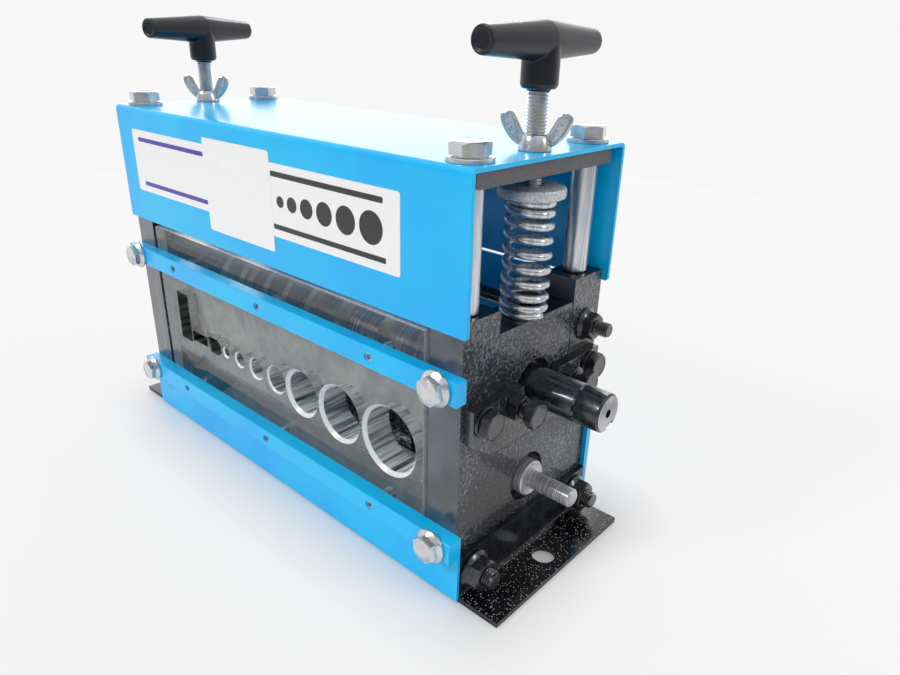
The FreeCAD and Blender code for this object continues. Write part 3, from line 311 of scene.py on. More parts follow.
FINISHES = {
    "nibs_and_painted_sheen": dusty_black_enamel,
    "wrinkle": crinkle_black_enamel,
    "glint_dots": sparkling_black_enamel,
    "acrylic": clear_acrylic,
    "cut": cut_acrylic,
    "haze": hazed_acrylic,
    # Gloss powder coat on folded steel sheet: a wet shine with faint orange peel.
    "blue": patterned("gloss_sky_blue_powder_coat", (60, 2), ((0.35, "blue_shade"), (0.65, "blue")),
                      fine=(1.6, 1), relief=0.012, Roughness=0.2, IOR=1.5),
    # The same enamel without its painted grey sheen: deep black and wet, with soft brush waves in the shine,
    # painted a little lighter on their tops as painted sheen.
    "deep": patterned("deep_black_enamel", (7, 3), ((0.35, "black"), (0.75, "black_soft_sheen")), relief=0.25,
                      Roughness=0.16, IOR=1.5),
    # Black paint on a saw-cut bar end: a dull grey-brown painted sheen stands in for the light it reflects,
    # with the saw's speckle.
    "bar_end_sheen": patterned("primed_saw_cut_end", (1.1, 4), ((0.3, "black_sheen"), (0.6, "bar_end_sheen")), relief=0.15,
                         Roughness=0.6),
    # Zinc plate with a clear passivate: silvery, with a faint blue and straw drift.
    "zinc": patterned("bright_zinc_plate", (9, 3), ((0.3, "zinc_blue"), (0.5, "zinc"), (0.72, "zinc_straw")),
                      fine=(0.7, 4), rough=(0.12, 0.34), relief=0.02, Metallic=0.85),
    # Zinc over hot-rolled bar: the mill skin leaves it frosty and speckled.
    "rough_zinc": patterned("rough_zinc_on_hot_rolled_bar", (0.8, 5, 0.7),
                            ((0.36, "mill_dark"), (0.5, "zinc"), (0.7, "mill_light")), relief=0.25,
                            Metallic=0.6, Roughness=0.42),
    # Plated spring and post steel, drawn bright: long soft streaks in a silver shine.
    "chrome": patterned("drawn_plated_steel", (1.6, 3, 0.5, (1.0, 1.0, 0.06)),
                        ((0.35, "zinc_blue"), (0.6, "chrome")), rough=(0.14, 0.34), Metallic=0.85),
    # Hot black oxide with an oil wipe: dark satin, rubbed a little brighter in places.
    "oxide": patterned("oiled_black_oxide", (2.5, 5, 0.65), ((0.4, "oxide"), (0.72, "oxide_rubbed")),
                       rough=(0.22, 0.42), relief=0.03, Metallic=0.3, Coat_Weight=0.8, Coat_Roughness=0.1),
    # Bright bar turned in a lathe: fine rings round the arbors, brushed shine.
    "turned": patterned("turned_bright_steel", (0.5, 3, 0.5, (1.0, 0.03, 0.03)),
                        ((0.35, "steel_dark"), (0.65, "steel")), rough=(0.14, 0.36), relief=0.01,
                        Metallic=0.4),
    # Hardened tool steel with ground bevels: cool, bright, with straw temper colour.
    "blade": patterned("hardened_tool_steel", (14, 2), ((0.4, "steel"), (0.75, "temper")), fine=(0.4, 2),
                       rough=(0.1, 0.3), Metallic=0.3),
    # Knurled, case-hardened and blackened roller: dark, with the crests rubbed by wire.
    "knurl": patterned("knurled_case_hardened_steel", (1.8, 4), ((0.42, "oxide"), (0.7, "steel_dark")),
                       rough=(0.25, 0.5), Metallic=0.95),
    # Compression-moulded thermoset: black satin with a fine grain from the mould.
    "plastic": patterned("moulded_black_thermoset", (18, 3), ((0.35, "plastic"), (0.7, "plastic_bloom")),
                         fine=(0.55, 2), relief=0.03, IOR=1.5, Roughness=0.3),
    # Chamfers and sawn edges of the acrylic: the light they gather is painted in as a near-white painted
    # highlight.
    "rim": patterned("frosted_acrylic_edge", (1.2, 3), ((0.25, "haze"), (0.4, "acrylic")), rough=(0.1, 0.4),
                     IOR=1.49, Transmission_Weight=0.12),
}
made = {}


def finish(name):
    """The named finish, made the first time it is asked for."""
    if name not in made:
        made[name] = FINISHES[name](bpy.context.scene.stripper_colours)
    return made[name]


# ---- meshes ----------------------------------------------------------------

def link(name, mesh):
    item = bpy.data.objects.new(name, mesh)
    bpy.context.scene.collection.objects.link(item)
    return item


def smooth(mesh, crease=CREASE):
    mesh.shade_smooth()
    mesh.set_sharp_from_angle(angle=crease)


def meshed(shape, name, *materials):
    """A bmesh made into a mesh, smooth between its sharp edges."""
    mesh = bpy.data.meshes.new(name)
    shape.to_mesh(mesh)
    shape.free()
    for material in materials:
        mesh.materials.append(material)
    smooth(mesh)
    return mesh


def baked(item, crease=CREASE):
    """The object's mesh with its modifiers in it, smooth between its sharp edges."""
    graph = bpy.context.evaluated_depsgraph_get()
    mesh = bpy.data.meshes.new_from_object(item.evaluated_get(graph), depsgraph=graph)
    bpy.data.objects.remove(item)
    if not mesh.has_custom_normals:
        smooth(mesh, crease)
    return mesh


def stand_in(name, mesh, *nodes):
    """A finished piece that rides where its CAD nodes ride and shows instead of them."""
    item = link(name, mesh)
    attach(item, BODIES[nodes[0]])
    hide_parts(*nodes)
    return item


def loft(rings, name="loft", looped=False):
    """Faces between rings of points in millimetres; a ring of one point closes an end."""
    shape = bmesh.new()
    rows = [[shape.verts.new([c * MM for c in place]) for place in ring] for ring in rings]
    pairs = list(zip(rows, rows[1:]))
    if looped:
        pairs.append((rows[-1], rows[0]))
    for low, high in pairs:
        count = max(len(low), len(high))
        for k in range(count):
            after = (k + 1) % count
            if len(low) == 1:
                corners = [low[0], high[after], high[k]]
            elif len(high) == 1:
                corners = [low[k], low[after], high[0]]
            else:
                corners = [low[k], low[after], high[after], high[k]]
            shape.faces.new(corners)
    bmesh.ops.recalc_face_normals(shape, faces=shape.faces)
    return meshed(shape, name)


def polar(radius, angle):
    return radius * math.cos(angle), radius * math.sin(angle)


def circle(radius, steps):
    return [polar(radius, 2 * math.pi * k / steps) for k in range(steps)]


def turned(profile, steps=72, looped=False):
    """A piece turned about Z from (radius, height) points in millimetres."""
    rings = [[(x, y, height) for x, y in circle(radius, steps)] if radius else [(0, 0, height)]
             for radius, height in profile]
    return loft(rings, "turned", looped)


# Round a hexagon, with each corner taken by two close angles.
HEX_ANGLES = [angle for k in range(72)
              for angle in ((5 * k - 1, 5 * k + 1) if 5 * k % 60 == 30 else (5 * k,))]
CROWN = 0.47                    # radius of the flat inside the chamfer, as a share of the width across flats
CHAMFER = 0.577                 # fall of the chamfer, a cone of 30 degrees


def hex_ring(flats, height, chamfer=0.0):
    """A hexagon's outline with its corners just rounded, turned down where a chamfer cone cuts them."""
    ring = []
    for angle in HEX_ANGLES:
        reach = flats / 2 / math.cos(((angle + 30) % 60 - 30) * DEGREE)
        drop = max(0.0, reach - flats * CROWN) * chamfer
        ring.append((*polar(reach, angle * DEGREE), height - drop))
    return ring


def round_ring(radius, height):
    return [(*polar(radius, angle * DEGREE), height) for angle in HEX_ANGLES]


def round_rings(*points):
    return [round_ring(radius, height) for radius, height in points]


def flange_rings(flats, flange):
    """The washer-like foot of a flanged head or nut, up to where its hexagon starts."""
    return round_rings((flange - 0.3, 0), (flange, 0.4), (flange, 1.2), (flange - 0.4, 1.6)) + [
        hex_ring(flats, 2.9)]


def hex_head(flats, height, shank, length, flange=None):
    """A bolt: head above z = 0, shank below, with a flange or a washer face under the head."""
    crown = flats * CROWN
    rings = [[(0, 0, -length)]] + round_rings((shank - 0.6, -length), (shank, -length + 0.6), (shank, 0))
    if flange:
        rings += flange_rings(flats, flange)
    else:
        rings += round_rings((crown, 0), (crown, 0.35)) + [hex_ring(flats, 0.5)]
    rings += [hex_ring(flats, height, CHAMFER)]
    rings += round_rings((crown, height), (crown - 0.35, height), (crown - 0.8, height - 0.25))
    return loft(rings + [[(0, 0, height - 0.3)]], "hex_head")


def hex_nut(flats, height, bore, flange=None):
    crown = flats * CROWN
    lip = bore + 0.5
    rings = round_rings((bore, 0.5), (lip, 0))
    if flange:
        rings += flange_rings(flats, flange)
    else:
        rings += [round_ring(crown, 0), hex_ring(flats, 0.35)]
    rings += [hex_ring(flats, height, CHAMFER)]
    rings += round_rings((crown, height), (lip, height), (bore, height - 0.5))
    return loft(rings, "hex_nut", looped=True)


def washer(bore, radius, thick):
    edge = 0.25
    return turned([(bore, 0), (radius - edge, 0), (radius, edge), (radius, thick - edge),
                   (radius - edge, thick), (bore + edge, thick), (bore, thick - edge)], looped=True)


def joined(name, parts, *materials):
    """One mesh from (mesh, matrix) parts, each turned and placed."""
    shape = bmesh.new()
    for mesh, matrix in parts:
        copy = mesh.copy()
        copy.transform(matrix)
        shape.from_mesh(copy)
        bpy.data.meshes.remove(copy)
    return meshed(shape, name, *materials)


def at(x, y, z, direction=(0, 0, 1), turn=0.0):
    """Places a piece made about Z: millimetres, where its Z goes, and a turn about it."""
    aim = Vector((0, 0, 1)).rotation_difference(Vector(direction)).to_matrix().to_4x4()
    return Matrix.Translation(Vector((x, y, z)) * MM) @ aim @ Matrix.Rotation(turn * DEGREE, 4, "Z")


MERGE_DISTANCE = 0.002 * MM
FLAT_ANGLE = 0.5 * DEGREE       # triangles that meet flatter than this are one face
EASED_ANGLE = 38 * DEGREE       # edges sharper than this are eased


def eased(node, materials, ease, pick=None):
    """A copy of a CAD node, its triangles merged into faces and its edges eased."""
    shape = bmesh.new()
    shape.from_mesh(frame["nodes"][node].data)
    bmesh.ops.remove_doubles(shape, verts=shape.verts, dist=MERGE_DISTANCE)
    bmesh.ops.dissolve_limit(shape, angle_limit=FLAT_ANGLE, verts=shape.verts, edges=shape.edges)
    for face in shape.faces:
        face.material_index = pick(face.calc_center_median(), face.normal) if pick else 0
    mesh = meshed(shape, node + "_eased", *materials)
    item = link(mesh.name, mesh)
    bevel = item.modifiers.new("Eased edges", "BEVEL")
    bevel.width = ease
    bevel.segments = 2
    bevel.limit_method = "ANGLE"
    bevel.angle_limit = EASED_ANGLE
    bevel.harden_normals = True
    bevel.miter_outer = "MITER_ARC"
    return baked(item)


# ---- trees that repeat -----------------------------------------------------

SOCKET_KINDS = {"Geometry": "Geometry", "Pattern": "Object", "Material": "Material"}


def new_tree(name, *labels):
    """A geometry tree with its named inputs, which are numbers unless SOCKET_KINDS says otherwise."""
    tree = bpy.data.node_groups.new(name, "GeometryNodeTree")
    for label in (*labels, "Material"):
        kind = SOCKET_KINDS.get(label, "Float")
        tree.interface.new_socket(label, in_out="INPUT", socket_type="NodeSocket" + kind)
    tree.interface.new_socket("Geometry", in_out="OUTPUT", socket_type="NodeSocketGeometry")
    return tree, tree.nodes.new("NodeGroupInput").outputs


def close_tree(tree, size, *parts):
    """Joins the parts, gives them the tree's material and sends them out."""
    whole = parts[0] if len(parts) == 1 else add(tree, "GeometryNodeJoinGeometry", {0: [*parts]}).outputs[0]
    real = add(tree, "GeometryNodeRealizeInstances", {"Geometry": whole}).outputs[0]
    painted = add(tree, "GeometryNodeSetMaterial", {"Geometry": real, "Material": size["Material"]})
    add(tree, "NodeGroupOutput", {0: painted.outputs[0]})
    return tree


def grown(tree, values, seed_mesh=None):
    """Runs a tree once and keeps what it makes as a plain mesh."""
    item = link(tree.name, seed_mesh or bpy.data.meshes.new(tree.name))
    modifier = item.modifiers.new(tree.name, "NODES")
    modifier.node_group = tree
    for socket in tree.interface.items_tree:
        if socket.in_out == "INPUT" and socket.name in values:
            modifier[socket.identifier] = values[socket.name]
    return baked(item)


def helix(tree, steps, turns, radius, height):
    return add(tree, "GeometryNodeCurveSpiral", {"Resolution": steps, "Rotations": turns, "Height": height,
                                                 "Start Radius": radius, "End Radius": radius}).outputs[0]


def swept(tree, path, profile):
    """A profile carried along a path and closed at both ends."""
    upright = add(tree, "GeometryNodeSetCurveNormal", {"Curve": path}, mode="Z_UP").outputs[0]
    return add(tree, "GeometryNodeCurveToMesh", {"Curve": upright, "Profile Curve": profile,
                                                 "Fill Caps": True}).outputs[0]


def ring_curve(tree, steps, radius):
    return add(tree, "GeometryNodeCurvePrimitiveCircle", {"Resolution": steps, "Radius": radius}).outputs[0]


def drum(tree, steps, radius, depth):
    sockets = {"Vertices": steps, "Radius": radius, "Depth": depth}
    return add(tree, "GeometryNodeMeshCylinder", sockets).outputs["Mesh"]


def moved(tree, geometry, **sockets):
    return add(tree, "GeometryNodeTransform", {"Geometry": geometry, **sockets}).outputs[0]


def relevelled(tree, geometry, level):
    """Moves each point up or down to the height that level makes of its own."""
    spot = split(tree, add(tree, "GeometryNodeInputPosition").outputs[0])
    place = point(tree, spot["X"], spot["Y"], level(spot["Z"]))
    return add(tree, "GeometryNodeSetPosition", {"Geometry": geometry, "Position": place}).outputs[0]


def copied(tree, points, instance, rotation):
    sockets = {"Points": points, "Instance": instance, "Rotation": rotation}
    return add(tree, "GeometryNodeInstanceOnPoints", sockets).outputs[0]


def thread_tree():
    """A threaded rod along +Z: a helical ridge, a triangle of 60 degrees flattened to its depth, on a core."""
    tree, size = new_tree("Screw thread", "Radius", "Pitch", "Length", "Depth")
    length, pitch, depth = size["Length"], size["Pitch"], size["Depth"]
    turns = reckon(tree, "SUBTRACT", reckon(tree, "DIVIDE", length, pitch), 1.0)
    middle = reckon(tree, "MULTIPLY_ADD", depth, -0.667, size["Radius"])
    path = helix(tree, 36, turns, middle, reckon(tree, "SUBTRACT", length, pitch))
    triangle = ring_curve(tree, 3, reckon(tree, "MULTIPLY", pitch, 0.577))
    thin = reckon(tree, "MULTIPLY", reckon(tree, "DIVIDE", depth, pitch), -1.155)
    ridge = swept(tree, path, moved(tree, triangle, Scale=point(tree, thin, 1.0, 1.0)))
    core = drum(tree, 36, reckon(tree, "SUBTRACT", size["Radius"], depth), length)
    raised = [moved(tree, part, Translation=point(tree, z=reckon(tree, "MULTIPLY", whole, 0.5)))
              for part, whole in ((ridge, pitch), (core, length))]
    return close_tree(tree, size, *raised)


def coil_tree():
    """A compression spring along +Z with closed ends ground flat."""
    tree, size = new_tree("Coil spring", "Coil Radius", "Wire Radius", "Coils", "Height")
    foot = reckon(tree, "MULTIPLY", size["Wire Radius"], 0.55)
    head = reckon(tree, "SUBTRACT", size["Height"], foot)
    along = add(tree, "GeometryNodeSplineParameter").outputs["Factor"]
    even = spread(tree, along, foot, head, 0.03, 0.97)
    slow_ends = spread(tree, along, foot, head, 0.03, 0.97, interpolation_type="SMOOTHSTEP")
    level = reckon(tree, "MULTIPLY_ADD", even, 0.6, reckon(tree, "MULTIPLY", slow_ends, 0.4))
    flat_spiral = helix(tree, 48, size["Coils"], size["Coil Radius"], 1.0)
    path = relevelled(tree, flat_spiral, lambda z: level)
    coil = swept(tree, path, ring_curve(tree, 20, size["Wire Radius"]))
    limits = {"Min": 0.0, "Max": size["Height"]}
    ground = relevelled(tree, coil, lambda z: add(tree, "ShaderNodeClamp", {"Value": z, **limits}).outputs[0])
    return close_tree(tree, size, ground)


def knurl_tree():
    """A roller along +Z whose rim is cut with straight teeth."""
    tree, size = new_tree("Knurled roller", "Radius", "Width", "Pitch", "Depth")
    rim = reckon(tree, "MULTIPLY", size["Radius"], 2 * math.pi)
    teeth = reckon(tree, "DIVIDE", rim, size["Pitch"])
    root = reckon(tree, "SUBTRACT", size["Radius"], size["Depth"])
    points = add(tree, "GeometryNodeMeshCircle", {"Vertices": teeth, "Radius": root}).outputs[0]
    short = reckon(tree, "MULTIPLY_ADD", size["Depth"], -2.0, size["Width"])
    spot = add(tree, "GeometryNodeInputPosition").outputs[0]
    outward = add(tree, "FunctionNodeAlignRotationToVector", {"Vector": spot}, axis="X", pivot_axis="Z")
    ring = copied(tree, points, drum(tree, 4, size["Depth"], short), outward.outputs[0])
    return close_tree(tree, size, ring, drum(tree, 96, root, size["Width"]))


def fastener_tree():
    """Sets a copy of one fastener on each point, turned by the point's own attribute."""
    tree, size = new_tree("Fasteners on points", "Geometry", "Pattern")
    pattern = add(tree, "GeometryNodeObjectInfo", {"Object": size["Pattern"]}).outputs["Geometry"]
    turn = add(tree, "GeometryNodeInputNamedAttribute", {"Name": "turn"}, data_type="FLOAT_VECTOR").outputs[0]
    return close_tree(tree, size, copied(tree, size["Geometry"], pattern, turn))


def set_on(tree, pattern, places, material):
    """A mesh with one copy of the pattern at each placing matrix."""
    seed = bpy.data.meshes.new("points")
    seed.from_pydata([matrix.translation for matrix in places], [], [])
    turns = seed.attributes.new("turn", "FLOAT_VECTOR", "POINT")
    for entry, matrix in zip(turns.data, places):
        entry.vector = matrix.to_euler()
    source = link("pattern", pattern)
    mesh = grown(tree, {"Pattern": source, "Material": material}, seed)
    bpy.data.objects.remove(source)
    return mesh


# ---- sizes and colours a user would change ---------------------------------

def number(name, description, default, **more):
    return bpy.props.FloatProperty(name=name, description=description, default=default, **more)


def length(name, description, millimetres):
    return number(name, description, millimetres * MM, unit="LENGTH", precision=5)


def tint(name, description, hex_colour):
    return bpy.props.FloatVectorProperty(name=name, description=description, default=linear(hex_colour), size=3,
                                         subtype="COLOR", min=0.0, max=1.0)


class StripperSizes(bpy.types.PropertyGroup):
    plate_ease: length("Plate easing", "How far the edges of the thick plates are eased", 0.5)
    sheet_ease: length("Sheet easing", "How far the edges of the folded sheets and bars are eased", 0.35)
    guide_ease: length("Guide easing", "How far the polished edges of the clear guide are eased", 0.4)
    screw_pitch: length("Screw pitch", "Thread pitch of the pressure screws and lower tie rods", 1.5)
    screw_depth: length("Screw depth", "Thread depth of the pressure screws and lower tie rods", 0.8)
    small_pitch: length("Small pitch", "Thread pitch of the jack screws and upper tie rod", 1.25)
    small_depth: length("Small depth", "Thread depth of the jack screws and upper tie rod", 0.65)
    knurl_pitch: length("Knurl pitch", "Spacing of the teeth round a feed roller", 1.5)
    knurl_depth: length("Knurl depth", "Height of the teeth on a feed roller", 0.55)
    coil_radius: length("Coil radius", "From a spring's middle line to the middle of its wire", 10.3)
    wire_radius: length("Wire radius", "Half the thickness of the spring wire", 2.0)
    coils: number("Coils", "Turns of wire in a spring", 9.5)


class StripperColours(bpy.types.PropertyGroup):
    blue: tint("Blue", "Powder coat in full light", "#00C6FF")
    blue_shade: tint("Blue shade", "Powder coat where it lies thicker", "#00B6FE")
    black: tint("Black", "Enamel in its pits and on the feet", "#080B12")
    # Painted sheen: the next two lighter blacks stand in for light that the gloss enamels reflect.
    black_soft_sheen: tint("Black soft sheen", "Enamel under a soft painted sheen", "#262A33")
    black_sheen: tint("Black sheen", "Enamel under the strongest painted sheen", "#555B66")
    # Painted glint on the wrinkle crests.
    wrinkle_glint: tint("Wrinkle glint", "Painted glint on the crests of the wrinkle enamel", "#686D77")
    # Painted sheen on the black bar ends.
    bar_end_sheen: tint("Bar end sheen", "Painted sheen on the black sawn ends of the cross bars", "#6E6663")
    # Painted glints in the feet's enamel.
    glint_dots: tint("Glint dots", "Painted glints in the feet's enamel", "#D8D4C4")
    zinc: tint("Zinc", "Zinc plate", "#DADDE0")
    zinc_blue: tint("Zinc blue", "Zinc plate where it looks bluish", "#AFB8C4")
    zinc_straw: tint("Zinc straw", "Zinc plate where it looks like straw", "#D2CDBF")
    chrome: tint("Chrome", "Polished plated steel", "#DCDEE0")
    mill_dark: tint("Mill skin dark", "Pits in zinc over hot-rolled bar", "#7C7B7E")
    mill_light: tint("Mill skin light", "Crests in zinc over hot-rolled bar", "#DDDCE2")
    oxide: tint("Black oxide", "Oiled black oxide", "#14161B")
    oxide_rubbed: tint("Rubbed oxide", "Black oxide rubbed bright", "#3C3F45")
    steel: tint("Steel", "Turned or ground steel", "#DCDDDF")
    steel_dark: tint("Steel dark", "Steel in the bottom of a tool mark", "#8A8B8E")
    temper: tint("Temper", "Straw temper colour on the blades", "#B5A88C")
    plastic: tint("Plastic", "Moulded black plastic", "#10121A")
    plastic_bloom: tint("Plastic bloom", "Moulded black plastic with handling bloom", "#1A1D28")
    acrylic: tint("Acrylic", "Clear acrylic", "#F4F8F8")
    # Painted reflections streaking the bores.
    bore_mid_reflection: tint("Bore mid reflection", "Painted mid-tone reflection streaks in a bore", "#98A0A8")
    bore_dark_reflection: tint("Bore dark reflection", "Painted dark reflection streaks in a bore", "#2A2F36")
    haze: tint("Haze", "Scuffed acrylic in light", "#E6E6E2")
    haze_dark: tint("Haze dark", "Scuffed acrylic in shade", "#B4B7B8")
    label: tint("Label", "Plain vinyl label", "#FAFAFA")
    label_blue: tint("Label blue", "Rules on the label's left", "#3E18A8")
    label_black: tint("Label black", "Rules and dots on the label's right", "#1B1C1E")
    floor: tint("Floor", "Seamless paper under the stripper", "#E9E9E9")


class StripperStage(bpy.types.PropertyGroup):
    camera_place: bpy.props.FloatVectorProperty(
        name="Camera place", description="Where the camera stands", default=(0.32949, -0.26799, 0.26806),
        size=3, subtype="TRANSLATION", unit="LENGTH", precision=5)
    camera_yaw: number("Camera yaw", "Turn of the view about Z, from straight along Y", 41.58 * DEGREE,
                       unit="ROTATION")
    camera_pitch: number("Camera pitch", "Tilt of the view; negative looks down", -23.55 * DEGREE,
                         unit="ROTATION")
    camera_roll: number("Camera roll", "Roll of the view about its own line", 1.561 * DEGREE, unit="ROTATION")
    lens: number("Lens", "Focal length on a 36 mm wide sensor, in millimetres", 27.963)
    room: number("Room", "Strength of the soft light from the camera's side", 0.3)
    sky: number("Sky", "Strength of the soft light from above and from behind", 0.9)
    key: number("Key lamp", "Strength of the soft lamp over the front", 1.15)
    fill: number("Fill lamp", "Strength of the soft lamp at the driven end", 0.4)
    back: number("Back lamp", "Strength of the soft lamp over the back", 0.3)
    panel: number("Light panel", "Power of the wide panel that whitens the top", 9.0, unit="POWER")


# ---- operators -------------------------------------------------------------

class STRIPPER_OT_stage(bpy.types.Operator):
    """Floor, lamps, white surroundings and camera"""
    bl_idname = "stripper.stage"
    bl_label = "Stage"

    LAMPS = (("Key lamp", "key", (-0.5, -1.1, 0.9)), ("Fill lamp", "fill", (1.3, 0.6, 0.6)),
             ("Back lamp", "back", (-0.9, 1.3, 1.0)))
    FLOOR_REACH = 1.1                   # metres from the middle to each edge
    FLOOR_WHITE = 0.8                   # how much of the backdrop's white the open floor shows
    FOOTPRINT = (0.16, 0.055, 0.0)      # half the length and depth of the plain paper under the part
    FADE = 0.05                         # metres from there to the open floor
    WHITE = (0.93, 0.93, 0.93, 1)       # what an eye sees past the part
    BEHIND = (-0.66, 0.75, 0.0)         # from the camera towards the backdrop
    LAMP_ANGLE = 12 * DEGREE            # how wide each lamp looks, which softens its shadows
    PANEL_PLACE, PANEL_TARGET = (-1.3, 1.5, 0.75), (0, 0, 0.2)
    PANEL_WIDE, PANEL_HIGH = 2.6, 0.9

    def execute(self, context):
        stage = context.scene.stripper_stage
        context.scene.view_settings.view_transform = "Standard"
        self.paper(context.scene.stripper_colours)
        self.surroundings(context.scene, stage)
        for name, strength, place in self.LAMPS:
            self.hang(name, "SUN", place, (0, 0, 0), energy=getattr(stage, strength), angle=self.LAMP_ANGLE)
        self.hang("Light panel", "AREA", self.PANEL_PLACE, self.PANEL_TARGET, energy=stage.panel,
                  shape="RECTANGLE", size=self.PANEL_WIDE, size_y=self.PANEL_HIGH)
        self.camera(context.scene, stage)
        return {"FINISHED"}

    def seen(self, tree, mirrored):
        """1 on rays from the camera and through clear matter, and a share of the rays off gloss."""
        path = add(tree, "ShaderNodeLightPath").outputs
        straight = reckon(tree, "MAXIMUM", path["Is Camera Ray"], path["Is Transmission Ray"])
        return reckon(tree, "MAXIMUM", straight, reckon(tree, "MULTIPLY", path["Is Glossy Ray"], mirrored))

    def paper(self, colours):
        """Paper that mostly shows the backdrop's white but keeps a shadow; under the part it is plain paper."""
        it = Surface("seamless_paper", Roughness=0.9, Specular_IOR_Level=0.0)
        tree = it.tree
        it.colour(it.noise(40, 3), (0.0, dimmed(0.985, colours.floor)), (1.0, colours.floor))
        off = reckon_vector(tree, "ABSOLUTE", it.place)
        past = reckon_vector(tree, "SUBTRACT", off, self.FOOTPRINT)
        gap = reckon_vector(tree, "LENGTH", reckon_vector(tree, "MAXIMUM", past, (0.0, 0.0, 0.0)))
        clear = spread(tree, gap, 0.0, self.FLOOR_WHITE, 0.0, self.FADE)
        share = reckon(tree, "MULTIPLY", self.seen(tree, 1.0), clear)
        white = add(tree, "ShaderNodeEmission", {"Color": self.WHITE, "Strength": 1.0}).outputs[0]
        mixed = add(tree, "ShaderNodeMixShader", {0: share, 1: it.shader.outputs[0], 2: white})
        tree.links.new(mixed.outputs[0], it.end.inputs["Surface"])
        reach = self.FLOOR_REACH
        mesh = bpy.data.meshes.new("Floor")
        mesh.from_pydata([(-reach, -reach, 0), (reach, -reach, 0), (reach, reach, 0), (-reach, reach, 0)], [],
                         [(0, 1, 2, 3)])
        mesh.materials.append(it.material)
        link("Floor", mesh)

    def surroundings(self, scene, stage):
        """Even white where the view runs past the floor; soft light that grows overhead and behind."""
        world = bpy.data.worlds.new("Studio")
        scene.world = world
        world.use_nodes = True
        tree = world.node_tree
        tree.nodes.clear()
        toward = add(tree, "ShaderNodeTexCoord").outputs["Generated"]
        behind = spread(tree, reckon_vector(tree, "DOT_PRODUCT", toward, self.BEHIND), start=-0.1, stop=0.6)
        overhead = spread(tree, split(tree, toward)["Z"], start=0.2, stop=0.85)
        level = spread(tree, reckon(tree, "MAXIMUM", behind, overhead), stage.room, stage.sky)
        soft = add(tree, "ShaderNodeBackground", {"Color": (1, 1, 1, 1), "Strength": level}).outputs[0]
        white = add(tree, "ShaderNodeBackground", {"Color": self.WHITE, "Strength": 1.0}).outputs[0]
        mixed = add(tree, "ShaderNodeMixShader", {0: self.seen(tree, behind), 1: soft, 2: white})
        add(tree, "ShaderNodeOutputWorld", {"Surface": mixed.outputs[0]})

    def hang(self, name, kind, place, target, **settings):
        light = bpy.data.lights.new(name, kind)
        for setting, value in settings.items():
            setattr(light, setting, value)
        item = bpy.data.objects.new(name, light)
        item.location = place
        item.rotation_euler = (Vector(target) - Vector(place)).to_track_quat("-Z", "Y").to_euler()
        item.visible_camera = False
        bpy.context.scene.collection.objects.link(item)

    def camera(self, scene, stage):
        data = bpy.data.cameras.new("Camera")
        item = bpy.data.objects.new("Camera", data)
        scene.collection.objects.link(item)
        scene.camera = item
        level = Euler((math.pi / 2 + stage.camera_pitch, 0.0, stage.camera_yaw)).to_matrix().to_4x4()
        turn = level @ Matrix.Rotation(stage.camera_roll, 4, "Z")
        item.matrix_world = Matrix.Translation(stage.camera_place) @ turn
        data.sensor_width = 36
        data.lens = stage.lens
        data.clip_start = 0.01


class STRIPPER_OT_frame(bpy.types.Operator):
    """End plates, feet, keeper plates, sliding blocks and cross bars"""
    bl_idname = "stripper.frame"
    bl_label = "Plates and feet"

    def execute(self, context):
        # The plates' front and back faces take the enamel with a painted grey sheen, and their outer ends the
        # wrinkle enamel with painted glints.
        plate = [finish("deep"), finish("wrinkle"), finish("nibs_and_painted_sheen")]
        # The feet's tops take the enamel with painted glints.
        angle = [finish("deep"), finish("glint_dots")]
        # The cross bars' sawn ends take a painted grey-brown sheen.
        bar = [finish("wrinkle"), finish("bar_end_sheen")]

        def faces(spot, normal):
            return 1 if abs(normal.x) > 0.9 else 2 if abs(normal.y) > 0.9 else 0

        def tops(spot, normal):
            return normal.z > 0.5 and spot.z < 5 * MM

        def ends(spot, normal):
            return abs(normal.x) > 0.9

        for side, word in SIDES:
            for kind, ending, materials, pick in (
                    ("end_plate_", "_enamelled", plate, faces), ("keeper_plate_", "_enamelled", plate, faces),
                    ("bearing_block_", "_enamelled", plate, faces), ("foot_angle_", "_enamelled", angle, tops),
                    ("cross_bar_", "_primed", bar, ends)):
                node = kind + word
                mesh = eased(node, materials, context.scene.stripper_sizes.plate_ease, pick)
                stand_in(node + ending, mesh, node)
        return {"FINISHED"}


class STRIPPER_OT_sheets(bpy.types.Operator):
    """Cover, skirt, clamp bars, rear guard and rear screen in blue powder coat"""
    bl_idname = "stripper.sheets"
    bl_label = "Blue sheets and bars"

    def execute(self, context):
        ease = context.scene.stripper_sizes.sheet_ease
        for node in ("cover", "front_skirt", "upper_clamp_bar", "lower_clamp_bar", "rear_guard", "rear_screen"):
            stand_in(node + "_coated", eased(node, [finish("blue")], ease), node)
        return {"FINISHED"}


class STRIPPER_OT_guide(bpy.types.Operator):
    """Clear guide plate with cut bores, bright rims and a scuffed back"""
    bl_idname = "stripper.guide"
    bl_label = "Clear guide"

    def execute(self, context):
        low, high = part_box("guide_plate")
        margin = 1.0 * MM

        def pick(spot, normal):
            outer = (spot.x - low.x < margin or high.x - spot.x < margin
                     or spot.z - low.z < margin or high.z - spot.z < margin)
            if abs(normal.y) > 0.95:
                return 0 if normal.y < 0 else 2
            return 3 if outer or abs(normal.y) > 0.3 else 1

        mesh = eased("guide_plate", [finish("acrylic"), finish("cut"), finish("haze"), finish("rim")],
                     context.scene.stripper_sizes.guide_ease, pick)
        stand_in("guide_plate_clear", mesh, "guide_plate")
        return {"FINISHED"}


